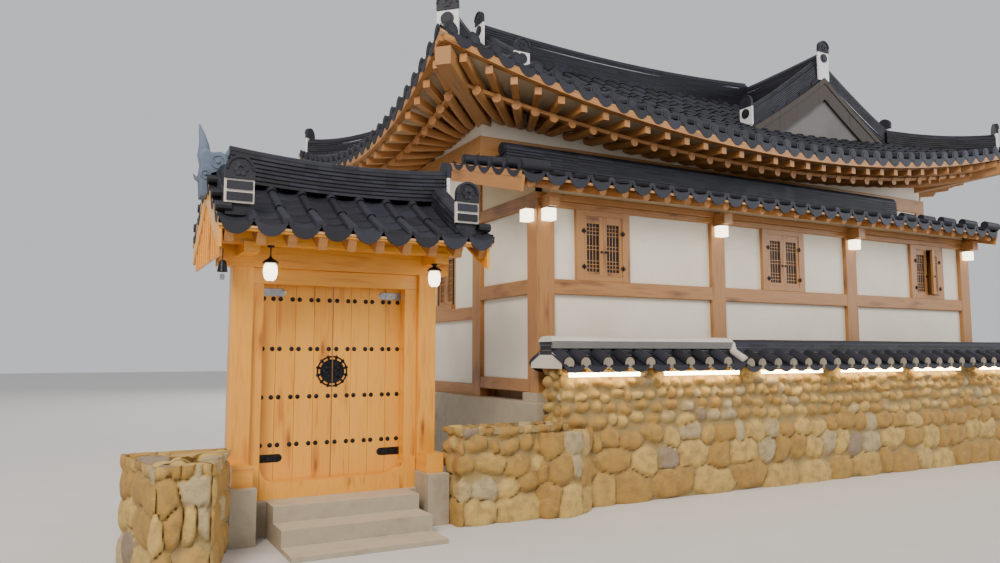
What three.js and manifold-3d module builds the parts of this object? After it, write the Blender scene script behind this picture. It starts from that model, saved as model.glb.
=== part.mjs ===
// A hanok: a timber house with an L-shaped tiled roof and a lean-to along the street,
// its gatehouse with two door leaves, and the boulder wall that joins the two.
// Millimetres, +Z up. +X runs along the street, +Y away from it.
// Places are written from the outer street corner of the lean-to, at ground level.
import * as THREE from "three";
import { mergeVertices } from "three/addons/utils/BufferGeometryUtils.js";
import Module from "manifold-3d";

const wasm = await Module();
wasm.setup();

const SEAT = 0.3; // gap between pieces that rest on each other
const TIMBER = 240; // side of a post

// Heights of the house
const TERRACE_TOP = 1100;
const FLOOR_TOP = 1240;
const STONE_TOP = 1210;
const RAIL_LOW = 2360;
const RAIL_HIGH = 2540;
const FRONT_BEAM_LOW = 3400;
const FRONT_BEAM_HIGH = 3560;
const RING_LOW = 4350;
const RING_HIGH = 4600;

// Plan of the house
const LEAN_TO_DEPTH = 1470; // street face to the main post line
const POST_CENTRES = [120, 2840, 5530, 8410];
const LEAN_TO_END = 8530;
const HOUSE_RIGHT = 9680;
const MAIN_BACK = 6070;
const WING_LEFT = 5080;
const WING_BACK = 8770;
const OVERHANG = 1080;

// Main roof: eave lines, gable planes and ridge lines
const EAVE_FRONT = LEAN_TO_DEPTH - OVERHANG;
const EAVE_LEFT = -OVERHANG;
const EAVE_RIGHT = HOUSE_RIGHT + OVERHANG;
const EAVE_MAIN_BACK = MAIN_BACK + OVERHANG;
const EAVE_WING_LEFT = WING_LEFT - OVERHANG;
const EAVE_WING_BACK = WING_BACK + OVERHANG;
const RUN = 3380; // plan distance from an eave to its ridge
const SKIRT = 1450; // plan depth of the skirt below the wing's gables
const LEFT_SKIRT = 2250; // plan depth of the skirt below the left gable
const MAIN_RIDGE_Y = EAVE_FRONT + RUN;
const WING_RIDGE_X = EAVE_WING_LEFT + RUN;
const LEFT_GABLE_X = EAVE_LEFT + LEFT_SKIRT;
const WING_GABLE_Y = EAVE_FRONT + SKIRT;
const WING_BACK_GABLE_Y = EAVE_WING_BACK - SKIRT;
const EAVE_TILE_TOP = 4840;
const SLOPE = 0.45;
const HOLLOW = 0.0385e-3; // extra rise with the square of the distance, which hollows the slope
const CORNER_LIFT = 720;
const COURT_LIFT = 420; // lift of the short courtyard eave's corner
const EAVE_BOW = 130; // the eave's middle stands back this far
const EAVE_THICK = 110;
const WALL_THICK = 520;
const RIDGE_THICK = 350;
const BOARD_HIGH = 120;
const RAFTER_PITCH = 360;
const FAN = 2200; // length of eave whose rafters turn towards the corner

// Lean-to roof
const LEAN_EAVE_Y = -450;
const LEAN_LEFT = -460;
const LEAN_RIGHT = 8630;
const LEAN_TOP = 3690;
const LEAN_SLOPE = 0.26;
const LEAN_THICK = 130;

// Gate
const GATE_CENTRE = -2430;
const GATE_POST_LEFT = -3335;
const GATE_POST_RIGHT = -1497;
const GATE_POST = 190;
const GATE_FRONT = -280;
const GATE_BACK = -90;
const SILL_LOW = 320;
const OPENING_LOW = 470;
const OPENING_HIGH = 2320;
const OPENING_HALF = 707;
const LINTEL_HIGH = 2470;
const GATE_BEAM_HIGH = 2690;
const GATE_EAVE_LEFT = -3660;
const GATE_EAVE_RIGHT = -1030;
const GATE_RIDGE_Y = -30;
const GATE_RUN = 850;
const GATE_EAVE_TOP = 2817;
const GATE_RISE = 483;
const GATE_THICK = 90;
const GATE_EAVE_LIFT = 15; // how far the eave's ends turn up
const GATE_RIDGE_LIFT = 60; // and the ridge's ends
const GABLE_BOARD_LOW = 2500;
const LEAF_THICK = 50;
const LEAF_FRONT = -80;
const LEAF_OVERLAP = 30;
const LEAF_GAP = 8;
const PIN_RADIUS = 18;

// Street wall
const WALL_FACE = -630;
const WALL_REAR = -230;
const WALL_LEFT = -120;
const WALL_RIGHT = 10200;
const WALL_TOP = 1500;

const material = (color, roughness, metalness = 0) =>
  new THREE.MeshStandardMaterial({ color, roughness, metalness });
const granite = material(0xa49c8c, 0.85);
const boulder = material(0xb39a6b, 0.9);
const pine = material(0xa9703c, 0.6);
const honeyPine = material(0xc98442, 0.5);
const plaster = material(0xe6dfcf, 0.9);
const tile = material(0x23262c, 0.5);
const lanternGlass = material(0xf2e6c4, 0.3);
const boards = material(0x8d6238, 0.6);

const house = new THREE.Group();

function add(name, geometry, finish) {
  const mesh = new THREE.Mesh(geometry, finish);
  mesh.name = name;
  house.add(mesh);
  return geometry;
}

function block(x0, x1, y0, y1, z0, z1) {
  const geometry = new THREE.BoxGeometry(x1 - x0, y1 - y0, z1 - z0);
  return geometry.translate((x0 + x1) / 2, (y0 + y1) / 2, (z0 + z1) / 2);
}

function toSolid(geometry) {
  const bare = geometry.clone();
  bare.deleteAttribute("normal");
  bare.deleteAttribute("uv");
  const merged = mergeVertices(bare, 1e-3);
  return new wasm.Manifold(
    new wasm.Mesh({
      numProp: 3,
      vertProperties: merged.attributes.position.array,
      triVerts: new Uint32Array(merged.index.array),
    }),
  );
}

function toGeometry(solid) {
  const mesh = solid.getMesh();
  const geometry = new THREE.BufferGeometry();
  geometry.setAttribute("position", new THREE.BufferAttribute(mesh.vertProperties, 3));
  geometry.setIndex(new THREE.BufferAttribute(mesh.triVerts, 1));
  return geometry;
}

const unite = (geometries) => geometries.map(toSolid).reduce((sum, next) => sum.add(next));
const join = (...geometries) => toGeometry(unite(geometries));
const cut = (geometry, ...tools) => toGeometry(toSolid(geometry).subtract(unite(tools)));

// An extruded plan outline between two heights.
function planSlab(points, z0, z1) {
  const shape = new THREE.Shape(points.map(([x, y]) => new THREE.Vector2(x, y)));
  const geometry = new THREE.ExtrudeGeometry(shape, { depth: z1 - z0, bevelEnabled: false });
  return geometry.translate(0, 0, z0);
}

// A closed solid over a plan drawn as strips between rows of points.
function quilt(strips, top, bottom) {
  const plan = [];
  const seen = new Map();
  const id = ([x, y]) => {
    const key = `${x.toFixed(2)} ${y.toFixed(2)}`;
    if (!seen.has(key)) {
      seen.set(key, plan.length);
      plan.push([x, y]);
    }
    return seen.get(key);
  };
  const faces = [];
  const addFace = (a, b, c) => {
    if (a === b || b === c || c === a) return;
    const [ax, ay] = plan[a];
    const area = (plan[b][0] - ax) * (plan[c][1] - ay) - (plan[c][0] - ax) * (plan[b][1] - ay);
    faces.push(area > 0 ? [a, b, c] : [a, c, b]);
  };
  for (const [low, high] of strips)
    for (let i = 0; i + 1 < low.length; i++) {
      const [a, b, c, d] = [low[i], low[i + 1], high[i + 1], high[i]].map(id);
      addFace(a, b, c);
      addFace(a, c, d);
    }
  const count = plan.length;
  const edges = new Set(faces.flatMap(([a, b, c]) => [`${a} ${b}`, `${b} ${c}`, `${c} ${a}`]));
  const index = faces.flatMap(([a, b, c]) => [a, b, c, c + count, b + count, a + count]);
  for (const edge of edges) {
    const [i, j] = edge.split(" ").map(Number);
    if (!edges.has(`${j} ${i}`)) index.push(i + count, j + count, j, i + count, j, i);
  }
  const positions = [
    ...plan.flatMap(([x, y]) => [x, y, top(x, y)]),
    ...plan.flatMap(([x, y]) => [x, y, bottom(x, y)]),
  ];
  const geometry = new THREE.BufferGeometry();
  geometry.setAttribute("position", new THREE.Float32BufferAttribute(positions, 3));
  geometry.setIndex(index);
  return geometry;
}

const spread = (count, place) => Array.from({ length: count + 1 }, (_, i) => place(i / count));
const mix = (a, b, t) => a + (b - a) * t;
const pairs = (rows) => rows.slice(1).map((row, i) => [rows[i], row]);

// A straight bar between two top-centre points, upright in section.
function bar([ax, ay, az], [bx, by, bz], width, startHigh, endHigh = startHigh) {
  const length = Math.hypot(bx - ax, by - ay);
  const sx = (-(by - ay) / length) * (width / 2);
  const sy = ((bx - ax) / length) * (width / 2);
  const strip = [
    [
      [ax - sx, ay - sy],
      [bx - sx, by - sy],
    ],
    [
      [ax + sx, ay + sy],
      [bx + sx, by + sy],
    ],
  ];
  const along = (x, y) => ((x - ax) * (bx - ax) + (y - ay) * (by - ay)) / length ** 2;
  const top = (x, y) => mix(az, bz, along(x, y));
  return quilt([strip], top, (x, y) => top(x, y) - mix(startHigh, endHigh, along(x, y)));
}

// Shape of the main roof

const corners = [
  { x: EAVE_LEFT, y: EAVE_FRONT, reachX: 5920, reachY: RUN, high: CORNER_LIFT },
  { x: EAVE_RIGHT, y: EAVE_FRONT, reachX: 5920, reachY: 4730, high: CORNER_LIFT },
  { x: EAVE_LEFT, y: EAVE_MAIN_BACK, reachX: 4000, reachY: RUN, high: CORNER_LIFT },
  { x: EAVE_WING_LEFT, y: EAVE_WING_BACK, reachX: RUN, reachY: 2700, high: COURT_LIFT },
  { x: EAVE_RIGHT, y: EAVE_WING_BACK, reachX: RUN, reachY: 4730, high: CORNER_LIFT },
];

function lift(x, y) {
  let total = 0;
  for (const corner of corners) {
    const u = Math.max(0, 1 - Math.abs(x - corner.x) / corner.reachX);
    const v = Math.max(0, 1 - Math.abs(y - corner.y) / corner.reachY);
    total += corner.high * u * u * v * v;
  }
  return total;
}

const rise = (d) => SLOPE * d + HOLLOW * d * d;
function thickness(d) {
  if (d < OVERHANG) return mix(EAVE_THICK, WALL_THICK, d / OVERHANG);
  return mix(WALL_THICK, RIDGE_THICK, (d - OVERHANG) / (RUN - OVERHANG));
}

// Each side of the roof: its eave as a line in plan, and how a point lies from it.
// at(c, d) is the plan point c along the eave and d up the slope.
const sides = {
  front: { at: (c, d) => [EAVE_LEFT + c, EAVE_FRONT + d], depth: (x, y) => y - EAVE_FRONT },
  left: { at: (c, d) => [EAVE_LEFT + d, EAVE_FRONT + c], depth: (x) => x - EAVE_LEFT },
  right: { at: (c, d) => [EAVE_RIGHT - d, EAVE_FRONT + c], depth: (x) => EAVE_RIGHT - x },
  mainBack: { at: (c, d) => [EAVE_LEFT + c, EAVE_MAIN_BACK - d], depth: (x, y) => EAVE_MAIN_BACK - y },
  wingLeft: { at: (c, d) => [EAVE_WING_LEFT + d, EAVE_MAIN_BACK + c], depth: (x) => x - EAVE_WING_LEFT },
  wingBack: {
    at: (c, d) => [EAVE_WING_LEFT + c, EAVE_WING_BACK - d],
    depth: (x, y) => EAVE_WING_BACK - y,
  },
};
sides.front.length = EAVE_RIGHT - EAVE_LEFT;
sides.left.length = EAVE_MAIN_BACK - EAVE_FRONT;
sides.right.length = EAVE_WING_BACK - EAVE_FRONT;
sides.mainBack.length = EAVE_WING_LEFT - EAVE_LEFT;
sides.wingLeft.length = EAVE_WING_BACK - EAVE_MAIN_BACK;
sides.wingBack.length = EAVE_RIGHT - EAVE_WING_LEFT;
for (const name of ["front", "left", "right", "wingBack"]) sides[name].bows = true;

// The eave bows in between its corners, less and less up the slope.
function bowed(side, c, d) {
  const t = THREE.MathUtils.clamp((c - d) / (side.length - 2 * d), 0, 1);
  const bow = side.bows && d < SKIRT ? EAVE_BOW * 4 * t * (1 - t) * (1 - d / SKIRT) : 0;
  return side.at(c, d + bow);
}
const tileTop = (side, x, y) => EAVE_TILE_TOP + rise(side.depth(x, y)) + lift(x, y);
const underside = (side, x, y) => tileTop(side, x, y) - thickness(side.depth(x, y));

const SKIRT_ROWS = [0, 500, OVERHANG, SKIRT];
const GABLE_ROWS = [SKIRT, LEFT_SKIRT, 2800, RUN];

// Rows of plan points between two ends given as distances along the eave.
function rowsOf(side, depths, columns, start, end, inset) {
  return depths.map((d) => {
    const depth = d === RUN ? RUN - inset : d;
    const from = start(d) + inset;
    const to = end(d) - inset;
    return columns.map((t) => {
      const c = mix(from, to, t);
      return d < SKIRT ? bowed(side, c, depth) : side.at(c, depth);
    });
  });
}
const even = (count) => spread(count, (t) => t);

const NEAR_COLUMNS = 9; // columns of the street slope left of the valley

// One slope of the roof as a solid. inset keeps it off its neighbours.
function slopeSolid(name, inset) {
  const side = sides[name];
  const hip = (d) => d;
  const farHip = (d) => side.length - d;
  let strips;
  if (name === "front") {
    const whole = side.length - 2 * SKIRT;
    const split = (WING_LEFT - OVERHANG + SKIRT - (EAVE_LEFT + SKIRT)) / whole;
    const near = even(NEAR_COLUMNS).map((t) => t * split);
    const far = even(6).slice(1).map((t) => mix(split, 1, t));
    const low = rowsOf(side, SKIRT_ROWS, [...near, ...far], hip, farHip, inset);
    const valley = (d) => EAVE_WING_LEFT - EAVE_LEFT + d;
    const edge = (d) => Math.min(d, LEFT_SKIRT);
    const high = rowsOf(side, GABLE_ROWS, even(NEAR_COLUMNS), edge, valley, inset);
    high[0] = low[low.length - 1].slice(0, NEAR_COLUMNS + 1);
    strips = [...pairs(low), ...pairs(high)];
  } else if (name === "left") {
    const depths = [...SKIRT_ROWS, LEFT_SKIRT - inset];
    strips = pairs(rowsOf(side, depths, even(9), hip, farHip, inset));
  } else if (name === "right") {
    const low = rowsOf(side, SKIRT_ROWS, even(11), hip, farHip, inset);
    const level = () => SKIRT;
    const high = rowsOf(side, GABLE_ROWS, even(11), level, () => side.length - SKIRT, inset);
    strips = [...pairs(low), ...pairs([low[low.length - 1], ...high.slice(1)])];
  } else if (name === "mainBack") {
    const depths = [...SKIRT_ROWS, ...GABLE_ROWS.slice(1)];
    const valley = (d) => side.length + d;
    strips = pairs(rowsOf(side, depths, even(10), (d) => Math.min(d, LEFT_SKIRT), valley, inset));
  } else if (name === "wingLeft") {
    const depths = [...SKIRT_ROWS, ...GABLE_ROWS.slice(1)];
    const end = (d) => side.length - Math.min(d, SKIRT);
    strips = pairs(rowsOf(side, depths, even(8), (d) => -d, end, inset));
  } else if (name === "wingBack") {
    const depths = [...SKIRT_ROWS.slice(0, 3), SKIRT - inset];
    strips = pairs(rowsOf(side, depths, even(9), hip, farHip, inset));
  } else {
    throw new Error(`no slope is called ${name}`);
  }
  return quilt(strips, (x, y) => tileTop(side, x, y), (x, y) => underside(side, x, y));
}

// The small slope left of the street gable, which falls to the valley.
function gableCheek(inset) {
  const side = sides.wingLeft;
  const rows = GABLE_ROWS.map((d) => {
    const x = EAVE_WING_LEFT + (d === RUN ? RUN - inset : d) + (d === SKIRT ? 5 * inset : 0);
    const end = EAVE_FRONT + d - 2 * inset;
    return even(5).map((t) => [x, mix(WING_GABLE_Y + inset, Math.max(end, WING_GABLE_Y + inset), t)]);
  });
  return quilt(pairs(rows), (x, y) => tileTop(side, x, y), (x, y) => underside(side, x, y));
}

const slopeNames = ["front", "left", "right", "mainBack", "wingLeft", "wingBack"];
const GAP = 0.2;
const OVERLAP = -0.5;
const slopeTools = [...slopeNames.map((name) => slopeSolid(name, OVERLAP)), gableCheek(OVERLAP)];
const shifted = (geometry, z) => geometry.clone().translate(0, 0, z);
const overRoof = unite(slopeTools.map((tool) => shifted(tool, 2.5 * SEAT)));
const underRoof = unite(slopeTools.map((tool) => shifted(tool, -2 * SEAT)));
const clear = (geometry, solid) => toGeometry(toSolid(geometry).subtract(solid));

// The two slopes of the street gable are one body, joined along their ridge.
function cheekSeam() {
  const crest = EAVE_TILE_TOP + rise(RUN);
  return block(
    WING_RIDGE_X - 2,
    WING_RIDGE_X + 2,
    WING_GABLE_Y + 5,
    MAIN_RIDGE_Y - 20,
    crest - RIDGE_THICK + 75,
    crest - 4,
  );
}

function buildMainRoof() {
  add("roof_front", slopeSolid("front", GAP), tile);
  add("roof_left", slopeSolid("left", GAP), tile);
  add("roof_right", join(slopeSolid("right", GAP), gableCheek(GAP), cheekSeam()), tile);
  add("roof_main_back", slopeSolid("mainBack", GAP), tile);
  add("roof_wing_left", slopeSolid("wingLeft", GAP), tile);
  add("roof_wing_back", slopeSolid("wingBack", GAP), tile);
}

// Courses of ridge tiles along a plan line: seated on the slopes, with a given top.
const RIDGE_WIDE = 280;
const RIDGE_HIGH = 450;
const DESCENT_HIGH = 360;
const HIP_HIGH = 280;
const BED = 100; // how far the courses reach down before the slopes cut them

// Each course line has its top heights and the heights of the tiles below it.
function courses(points, width, top, seat) {
  const rows = points.map(([x, y], i) => {
    const [px, py] = points[Math.max(0, i - 1)];
    const [nx, ny] = points[Math.min(points.length - 1, i + 1)];
    const length = Math.hypot(nx - px, ny - py);
    const sx = (-(ny - py) / length) * (width / 2);
    const sy = ((nx - px) / length) * (width / 2);
    return [
      [x - sx, y - sy],
      [x + sx, y + sy],
    ];
  });
  const nearest = (x, y) => {
    let best = 0;
    let least = Infinity;
    points.forEach(([px, py], i) => {
      const away = Math.hypot(px - x, py - y);
      if (away < least) [best, least] = [i, away];
    });
    return best;
  };
  return quilt(pairs(rows), (x, y) => top[nearest(x, y)], (x, y) => seat[nearest(x, y)] - BED);
}

// A path up a slope of the roof, with its courses standing "high" above the tiles.
function climb(side, from, to, count, high) {
  const points = spread(count, (t) => [mix(from[0], to[0], t), mix(from[1], to[1], t)]);
  const seat = points.map(([x, y]) => tileTop(side, x, y));
  return courses(points, RIDGE_WIDE, seat.map((z) => z + high), seat);
}

// The end tile of a run of ridge courses.
function endTile([x, y], z, [dx, dy]) {
  const wide = 300;
  const deep = 90;
  const shape = new THREE.Shape();
  shape.moveTo(-wide / 2, -160);
  shape.lineTo(wide / 2, -160);
  shape.lineTo(wide / 2, 60);
  shape.absarc(0, 60, wide / 2, 0, Math.PI, false);
  const geometry = new THREE.ExtrudeGeometry(shape, { depth: deep, bevelEnabled: false, curveSegments: 4 });
  geometry.rotateX(Math.PI / 2);
  geometry.rotateZ(Math.atan2(dy, dx) + Math.PI / 2);
  return geometry.translate(x, y, z);
}

const EDGE = RIDGE_WIDE / 2 + 4;
const HIP_FOOT = 190; // from the eave corner to the hip courses' end

function descent(side, foot, head, corner) {
  const way = [foot[0] - head[0], foot[1] - head[1]];
  const footZ = tileTop(side, ...foot) + DESCENT_HIGH;
  const pieces = [climb(side, foot, head, 3, DESCENT_HIGH), endTile(foot, footZ, way)];
  if (corner) {
    const out = [Math.sign(corner.x - foot[0]), Math.sign(corner.y - foot[1])];
    const tip = [corner.x - out[0] * HIP_FOOT, corner.y - out[1] * HIP_FOOT];
    const start = [corner.hipX - out[0] * 60, corner.hipY - out[1] * 60];
    const tipZ = tileTop(side, ...tip) + HIP_HIGH;
    pieces.push(climb(side, tip, start, 4, HIP_HIGH), endTile(tip, tipZ, out));
  }
  return pieces;
}

function buildRidges() {
  const crest = EAVE_TILE_TOP + rise(RUN);
  const sag = (t) => crest + RIDGE_HIGH - 90 + 130 * (2 * t - 1) ** 2;
  const mainLine = spread(10, (t) => [mix(LEFT_GABLE_X, WING_RIDGE_X - 40, t), MAIN_RIDGE_Y]);
  const wingLine = spread(10, (t) => [WING_RIDGE_X, mix(WING_GABLE_Y, WING_BACK_GABLE_Y, t)]);
  const sags = mainLine.map((_, i) => sag(i / 10));
  const level = mainLine.map(() => crest - 30);
  const mainRun = courses(mainLine, RIDGE_WIDE, sags, level);
  const wingRun = courses(wingLine, RIDGE_WIDE, sags, level);
  const ends = [
    endTile([LEFT_GABLE_X + 10, MAIN_RIDGE_Y], sag(0), [-1, 0]),
    endTile([WING_RIDGE_X, WING_GABLE_Y + 10], sag(0), [0, -1]),
    endTile([WING_RIDGE_X, WING_BACK_GABLE_Y - 10], sag(0), [0, 1]),
  ];
  const half = RIDGE_WIDE / 2 + 14;
  const streetLeft = descent(
    sides.wingLeft,
    [EAVE_WING_LEFT + SKIRT + 100, WING_GABLE_Y + EDGE],
    [WING_RIDGE_X - RIDGE_WIDE / 2 + 20, WING_GABLE_Y + EDGE],
  );
  add("roof_ridge", clear(join(mainRun, wingRun, ...ends, ...streetLeft), overRoof), tile);

  const leftX = LEFT_GABLE_X + EDGE;
  const frontLeft = { ...corners[0], hipX: LEFT_GABLE_X, hipY: EAVE_FRONT + LEFT_SKIRT };
  const backLeft = { ...corners[2], hipX: LEFT_GABLE_X, hipY: EAVE_MAIN_BACK - LEFT_SKIRT };
  const frontRight = { ...corners[1], hipX: EAVE_RIGHT - SKIRT, hipY: WING_GABLE_Y };
  const wingBackLeft = { ...corners[3], hipX: EAVE_WING_LEFT + SKIRT, hipY: WING_BACK_GABLE_Y };
  const wingBackRight = { ...corners[4], hipX: EAVE_RIGHT - SKIRT, hipY: WING_BACK_GABLE_Y };
  const descents = {
    ridge_left_front: descent(
      sides.front,
      [leftX, frontLeft.hipY],
      [leftX, MAIN_RIDGE_Y - half],
      frontLeft,
    ),
    ridge_left_back: descent(
      sides.mainBack,
      [leftX, backLeft.hipY],
      [leftX, MAIN_RIDGE_Y + half],
      backLeft,
    ),
    ridge_street_right: descent(
      sides.right,
      [frontRight.hipX, WING_GABLE_Y + EDGE],
      [WING_RIDGE_X + half, WING_GABLE_Y + EDGE],
      frontRight,
    ),
    ridge_wing_back_left: descent(
      sides.wingLeft,
      [wingBackLeft.hipX, WING_BACK_GABLE_Y - EDGE],
      [WING_RIDGE_X - half, WING_BACK_GABLE_Y - EDGE],
      wingBackLeft,
    ),
    ridge_wing_back_right: descent(
      sides.right,
      [wingBackRight.hipX, WING_BACK_GABLE_Y - EDGE],
      [WING_RIDGE_X + half, WING_BACK_GABLE_Y - EDGE],
      wingBackRight,
    ),
  };
  for (const [name, pieces] of Object.entries(descents)) add(name, clear(join(...pieces), overRoof), tile);
}

// A boarded gable under the slopes' edges. across is the run of the wall.
const GABLE_THICK = 120;
function gable(origin, across, into, half, base) {
  const [ax, ay] = across;
  const [ix, iy] = into;
  const apex = EAVE_TILE_TOP + rise(RUN) - 60;
  const at = (s, d) => [origin[0] + ax * s + ix * d, origin[1] + ay * s + iy * d];
  const strip = [0, GABLE_THICK].map((d) => [at(-half, d), at(0, d), at(half, d)]);
  const offset = (x, y) => Math.abs((x - origin[0]) * ax + (y - origin[1]) * ay);
  const top = (x, y) => mix(apex, base + 60, offset(x, y) / half);
  return clear(quilt([strip], top, () => base), underRoof);
}

function buildGables() {
  const leftBase = EAVE_TILE_TOP + rise(LEFT_SKIRT) - 200;
  const wingBase = EAVE_TILE_TOP + rise(SKIRT) - 200;
  const leftHalf = RUN - LEFT_SKIRT - 60;
  const wingHalf = RUN - SKIRT - 60;
  add(
    "gable_left",
    gable([LEFT_GABLE_X + SEAT, MAIN_RIDGE_Y], [0, 1], [1, 0], leftHalf, leftBase),
    boards,
  );
  add(
    "gable_street",
    gable([WING_RIDGE_X, WING_GABLE_Y + SEAT], [1, 0], [0, 1], wingHalf, wingBase),
    boards,
  );
  add(
    "gable_back",
    gable([WING_RIDGE_X, WING_BACK_GABLE_Y - SEAT], [1, 0], [0, -1], wingHalf, wingBase),
    boards,
  );
}

// Eaves: an eave board on square flying rafters on thicker rafters behind them

const FLYING_HIGH = 115;
const RAFTER_WIDE = 120;
const RAFTER_HIGH = 105;
const RAFTER_SEAT = 100; // how far a rafter runs in over the ring beam
const RAFTER_DROP = 30.5; // over the ring beam it lies this far below the boards
const TIP = 80;
const SECOND_TIP = 400;
const FIRST_RAFTER = 340;
const FIRST_INNER = 1400;

// turn is 1 where the board meets the next at a hip, -1 where it meets it in a valley.
function eaveBoard(side, startTurn, endTurn) {
  const rows = [4, 114].map((d) => {
    const from = startTurn * d + SEAT;
    const to = side.length - endTurn * d - SEAT;
    return spread(12, (t) => bowed(side, mix(from, to, t), d));
  });
  const top = (x, y) => underside(side, x, y) + 20;
  return clear(quilt(pairs(rows), top, (x, y) => top(x, y) - BOARD_HIGH - 34), underRoof);
}

// A flying rafter on the thicker rafter behind and below it, as one stepped timber.
function rafter(side, tip, deep) {
  const run = [deep[0] - tip[0], deep[1] - tip[1]];
  const length = Math.hypot(...run);
  const across = [(-run[1] / length) * (RAFTER_WIDE / 2), (run[0] / length) * (RAFTER_WIDE / 2)];
  const reach = OVERHANG + RAFTER_SEAT - TIP;
  const step = (SECOND_TIP - TIP) / reach;
  const seat = (OVERHANG - TIP) / reach;
  const stations = [0, step, step + 0.002, seat, 1];
  const line = (hand) =>
    stations.map((t) => [tip[0] + run[0] * t + across[0] * hand, tip[1] + run[1] * t + across[1] * hand]);
  const along = (x, y) => ((x - tip[0]) * run[0] + (y - tip[1]) * run[1]) / length ** 2;
  const top = (x, y) => {
    const t = along(x, y);
    const past = Math.max(0, t - seat);
    const boards = underside(side, x - run[0] * past, y - run[1] * past);
    return boards - mix(BOARD_HIGH, RAFTER_DROP, Math.min(1, t / seat));
  };
  const high = (x, y) => (along(x, y) < step + 0.001 ? FLYING_HIGH : FLYING_HIGH + RAFTER_HIGH);
  return quilt([[line(-1), line(1)]], top, (x, y) => top(x, y) - high(x, y));
}

function rafters(side, places, innerOf) {
  return places.map((c) => {
    const inner = innerOf(c);
    const place = (d) => bowed(side, mix(c, inner, (d - TIP) / (OVERHANG - TIP)), d);
    return rafter(side, place(TIP), place(OVERHANG + RAFTER_SEAT));
  });
}

function fanned(length, startHip, endHip) {
  const inner = (c) => (c < FAN ? mix(FIRST_INNER, FAN, (c - FIRST_RAFTER) / (FAN - FIRST_RAFTER)) : c);
  return (c) => {
    if (startHip && c < FAN) return inner(c);
    if (endHip && length - c < FAN) return length - inner(length - c);
    return c;
  };
}

function rafterPlaces(length, startHip, endHip) {
  const from = startHip ? FIRST_RAFTER : 200;
  const to = endHip ? length - FIRST_RAFTER : length - 200;
  const count = Math.round((to - from) / RAFTER_PITCH);
  return spread(count, (t) => mix(from, to, t));
}

function buildEaves() {
  const beams = unite(hipBeams(2.5 * SEAT));
  const eaves = {
    rafters_front: ["front", true, true],
    rafters_left: ["left", true, true],
    rafters_right: ["right", true, true],
    rafters_main_back: ["mainBack", true, false],
    rafters_wing_left: ["wingLeft", false, true],
    rafters_wing_back: ["wingBack", true, true],
  };
  for (const [name, [sideName, startHip, endHip]] of Object.entries(eaves)) {
    const side = sides[sideName];
    const board = eaveBoard(side, startHip ? 1 : -1, endHip ? 1 : -1);
    const places = rafterPlaces(side.length, startHip, endHip);
    const sticks = rafters(side, places, fanned(side.length, startHip, endHip));
    add(name, clear(join(board, ...sticks), beams), pine);
  }
}

// Timber ring and posts of the main block, with a hip beam out to each eave corner

const POST_LINE = [...POST_CENTRES, HOUSE_RIGHT - TIMBER / 2];
const postBlock = (x, y, z0, z1, grow = 0) =>
  block(x - 120 - grow, x + 120 + grow, y - grow, y + TIMBER + grow, z0, z1);

function hipBeam(ringX, ringY, corner, name, grow) {
  const side = sides[name];
  const out = [Math.sign(corner.x - ringX), Math.sign(corner.y - ringY)];
  const tip = [corner.x - out[0] * 60, corner.y - out[1] * 60];
  const start = [ringX - out[0] * 300, ringY - out[1] * 300];
  const tipZ = underside(side, ...tip) - BOARD_HIGH - 50 + grow;
  const startZ = Math.min(underside(side, ...start) - 60, RING_HIGH + 330) + grow;
  const startHigh = startZ - RING_HIGH + 60 + grow;
  return bar([...tip, tipZ], [...start, startZ], 200 + 2 * grow, 230 + 2 * grow, startHigh);
}

const hipBeams = (grow) => [
  hipBeam(0, LEAN_TO_DEPTH, corners[0], "front", grow),
  hipBeam(HOUSE_RIGHT, LEAN_TO_DEPTH, corners[1], "front", grow),
  hipBeam(0, MAIN_BACK, corners[2], "left", grow),
  hipBeam(WING_LEFT, WING_BACK, corners[3], "wingBack", grow),
  hipBeam(HOUSE_RIGHT, WING_BACK, corners[4], "wingBack", grow),
];

function buildMainFrame() {
  const pieces = [
    block(0, HOUSE_RIGHT, LEAN_TO_DEPTH, LEAN_TO_DEPTH + TIMBER, RING_LOW, RING_HIGH),
    block(0, TIMBER, LEAN_TO_DEPTH, MAIN_BACK, RING_LOW, RING_HIGH),
    block(0, WING_LEFT + TIMBER, MAIN_BACK - TIMBER, MAIN_BACK, RING_LOW, RING_HIGH),
    block(WING_LEFT, WING_LEFT + TIMBER, MAIN_BACK - TIMBER, WING_BACK, RING_LOW, RING_HIGH),
    block(WING_LEFT, HOUSE_RIGHT, WING_BACK - TIMBER, WING_BACK, RING_LOW, RING_HIGH),
    block(HOUSE_RIGHT - TIMBER, HOUSE_RIGHT, LEAN_TO_DEPTH, WING_BACK, RING_LOW, RING_HIGH),
    ...POST_LINE.map((x) => postBlock(x, LEAN_TO_DEPTH, TERRACE_TOP, RING_LOW + 10)),
    ...hipBeams(0),
  ];
  add("main_frame", toGeometry(unite(pieces).subtract(underRoof)), pine);
}

// A side wall: plaster between posts, sill and rail, with openings cut through.
// It runs along "length"; place() turns it onto its line.
function sideWall(length, posts, openings, place) {
  const low = TERRACE_TOP;
  const high = RING_LOW - SEAT;
  const outer = [
    block(0, length, 60, 190, low, high),
    block(0, length, 0, 200, low, low + 150),
    block(0, length, 15, 200, RAIL_LOW - 240, RAIL_LOW - 70),
    ...posts.map((x) => block(x - 120, x + 120, 0, TIMBER, low, high)),
  ];
  const holes = openings.map(([x0, x1, z0, z1]) => block(x0, x1, -10, TIMBER + 10, z0, z1));
  const wall = holes.length ? unite(outer).subtract(unite(holes)) : unite(outer);
  return place(toGeometry(wall));
}

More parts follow.
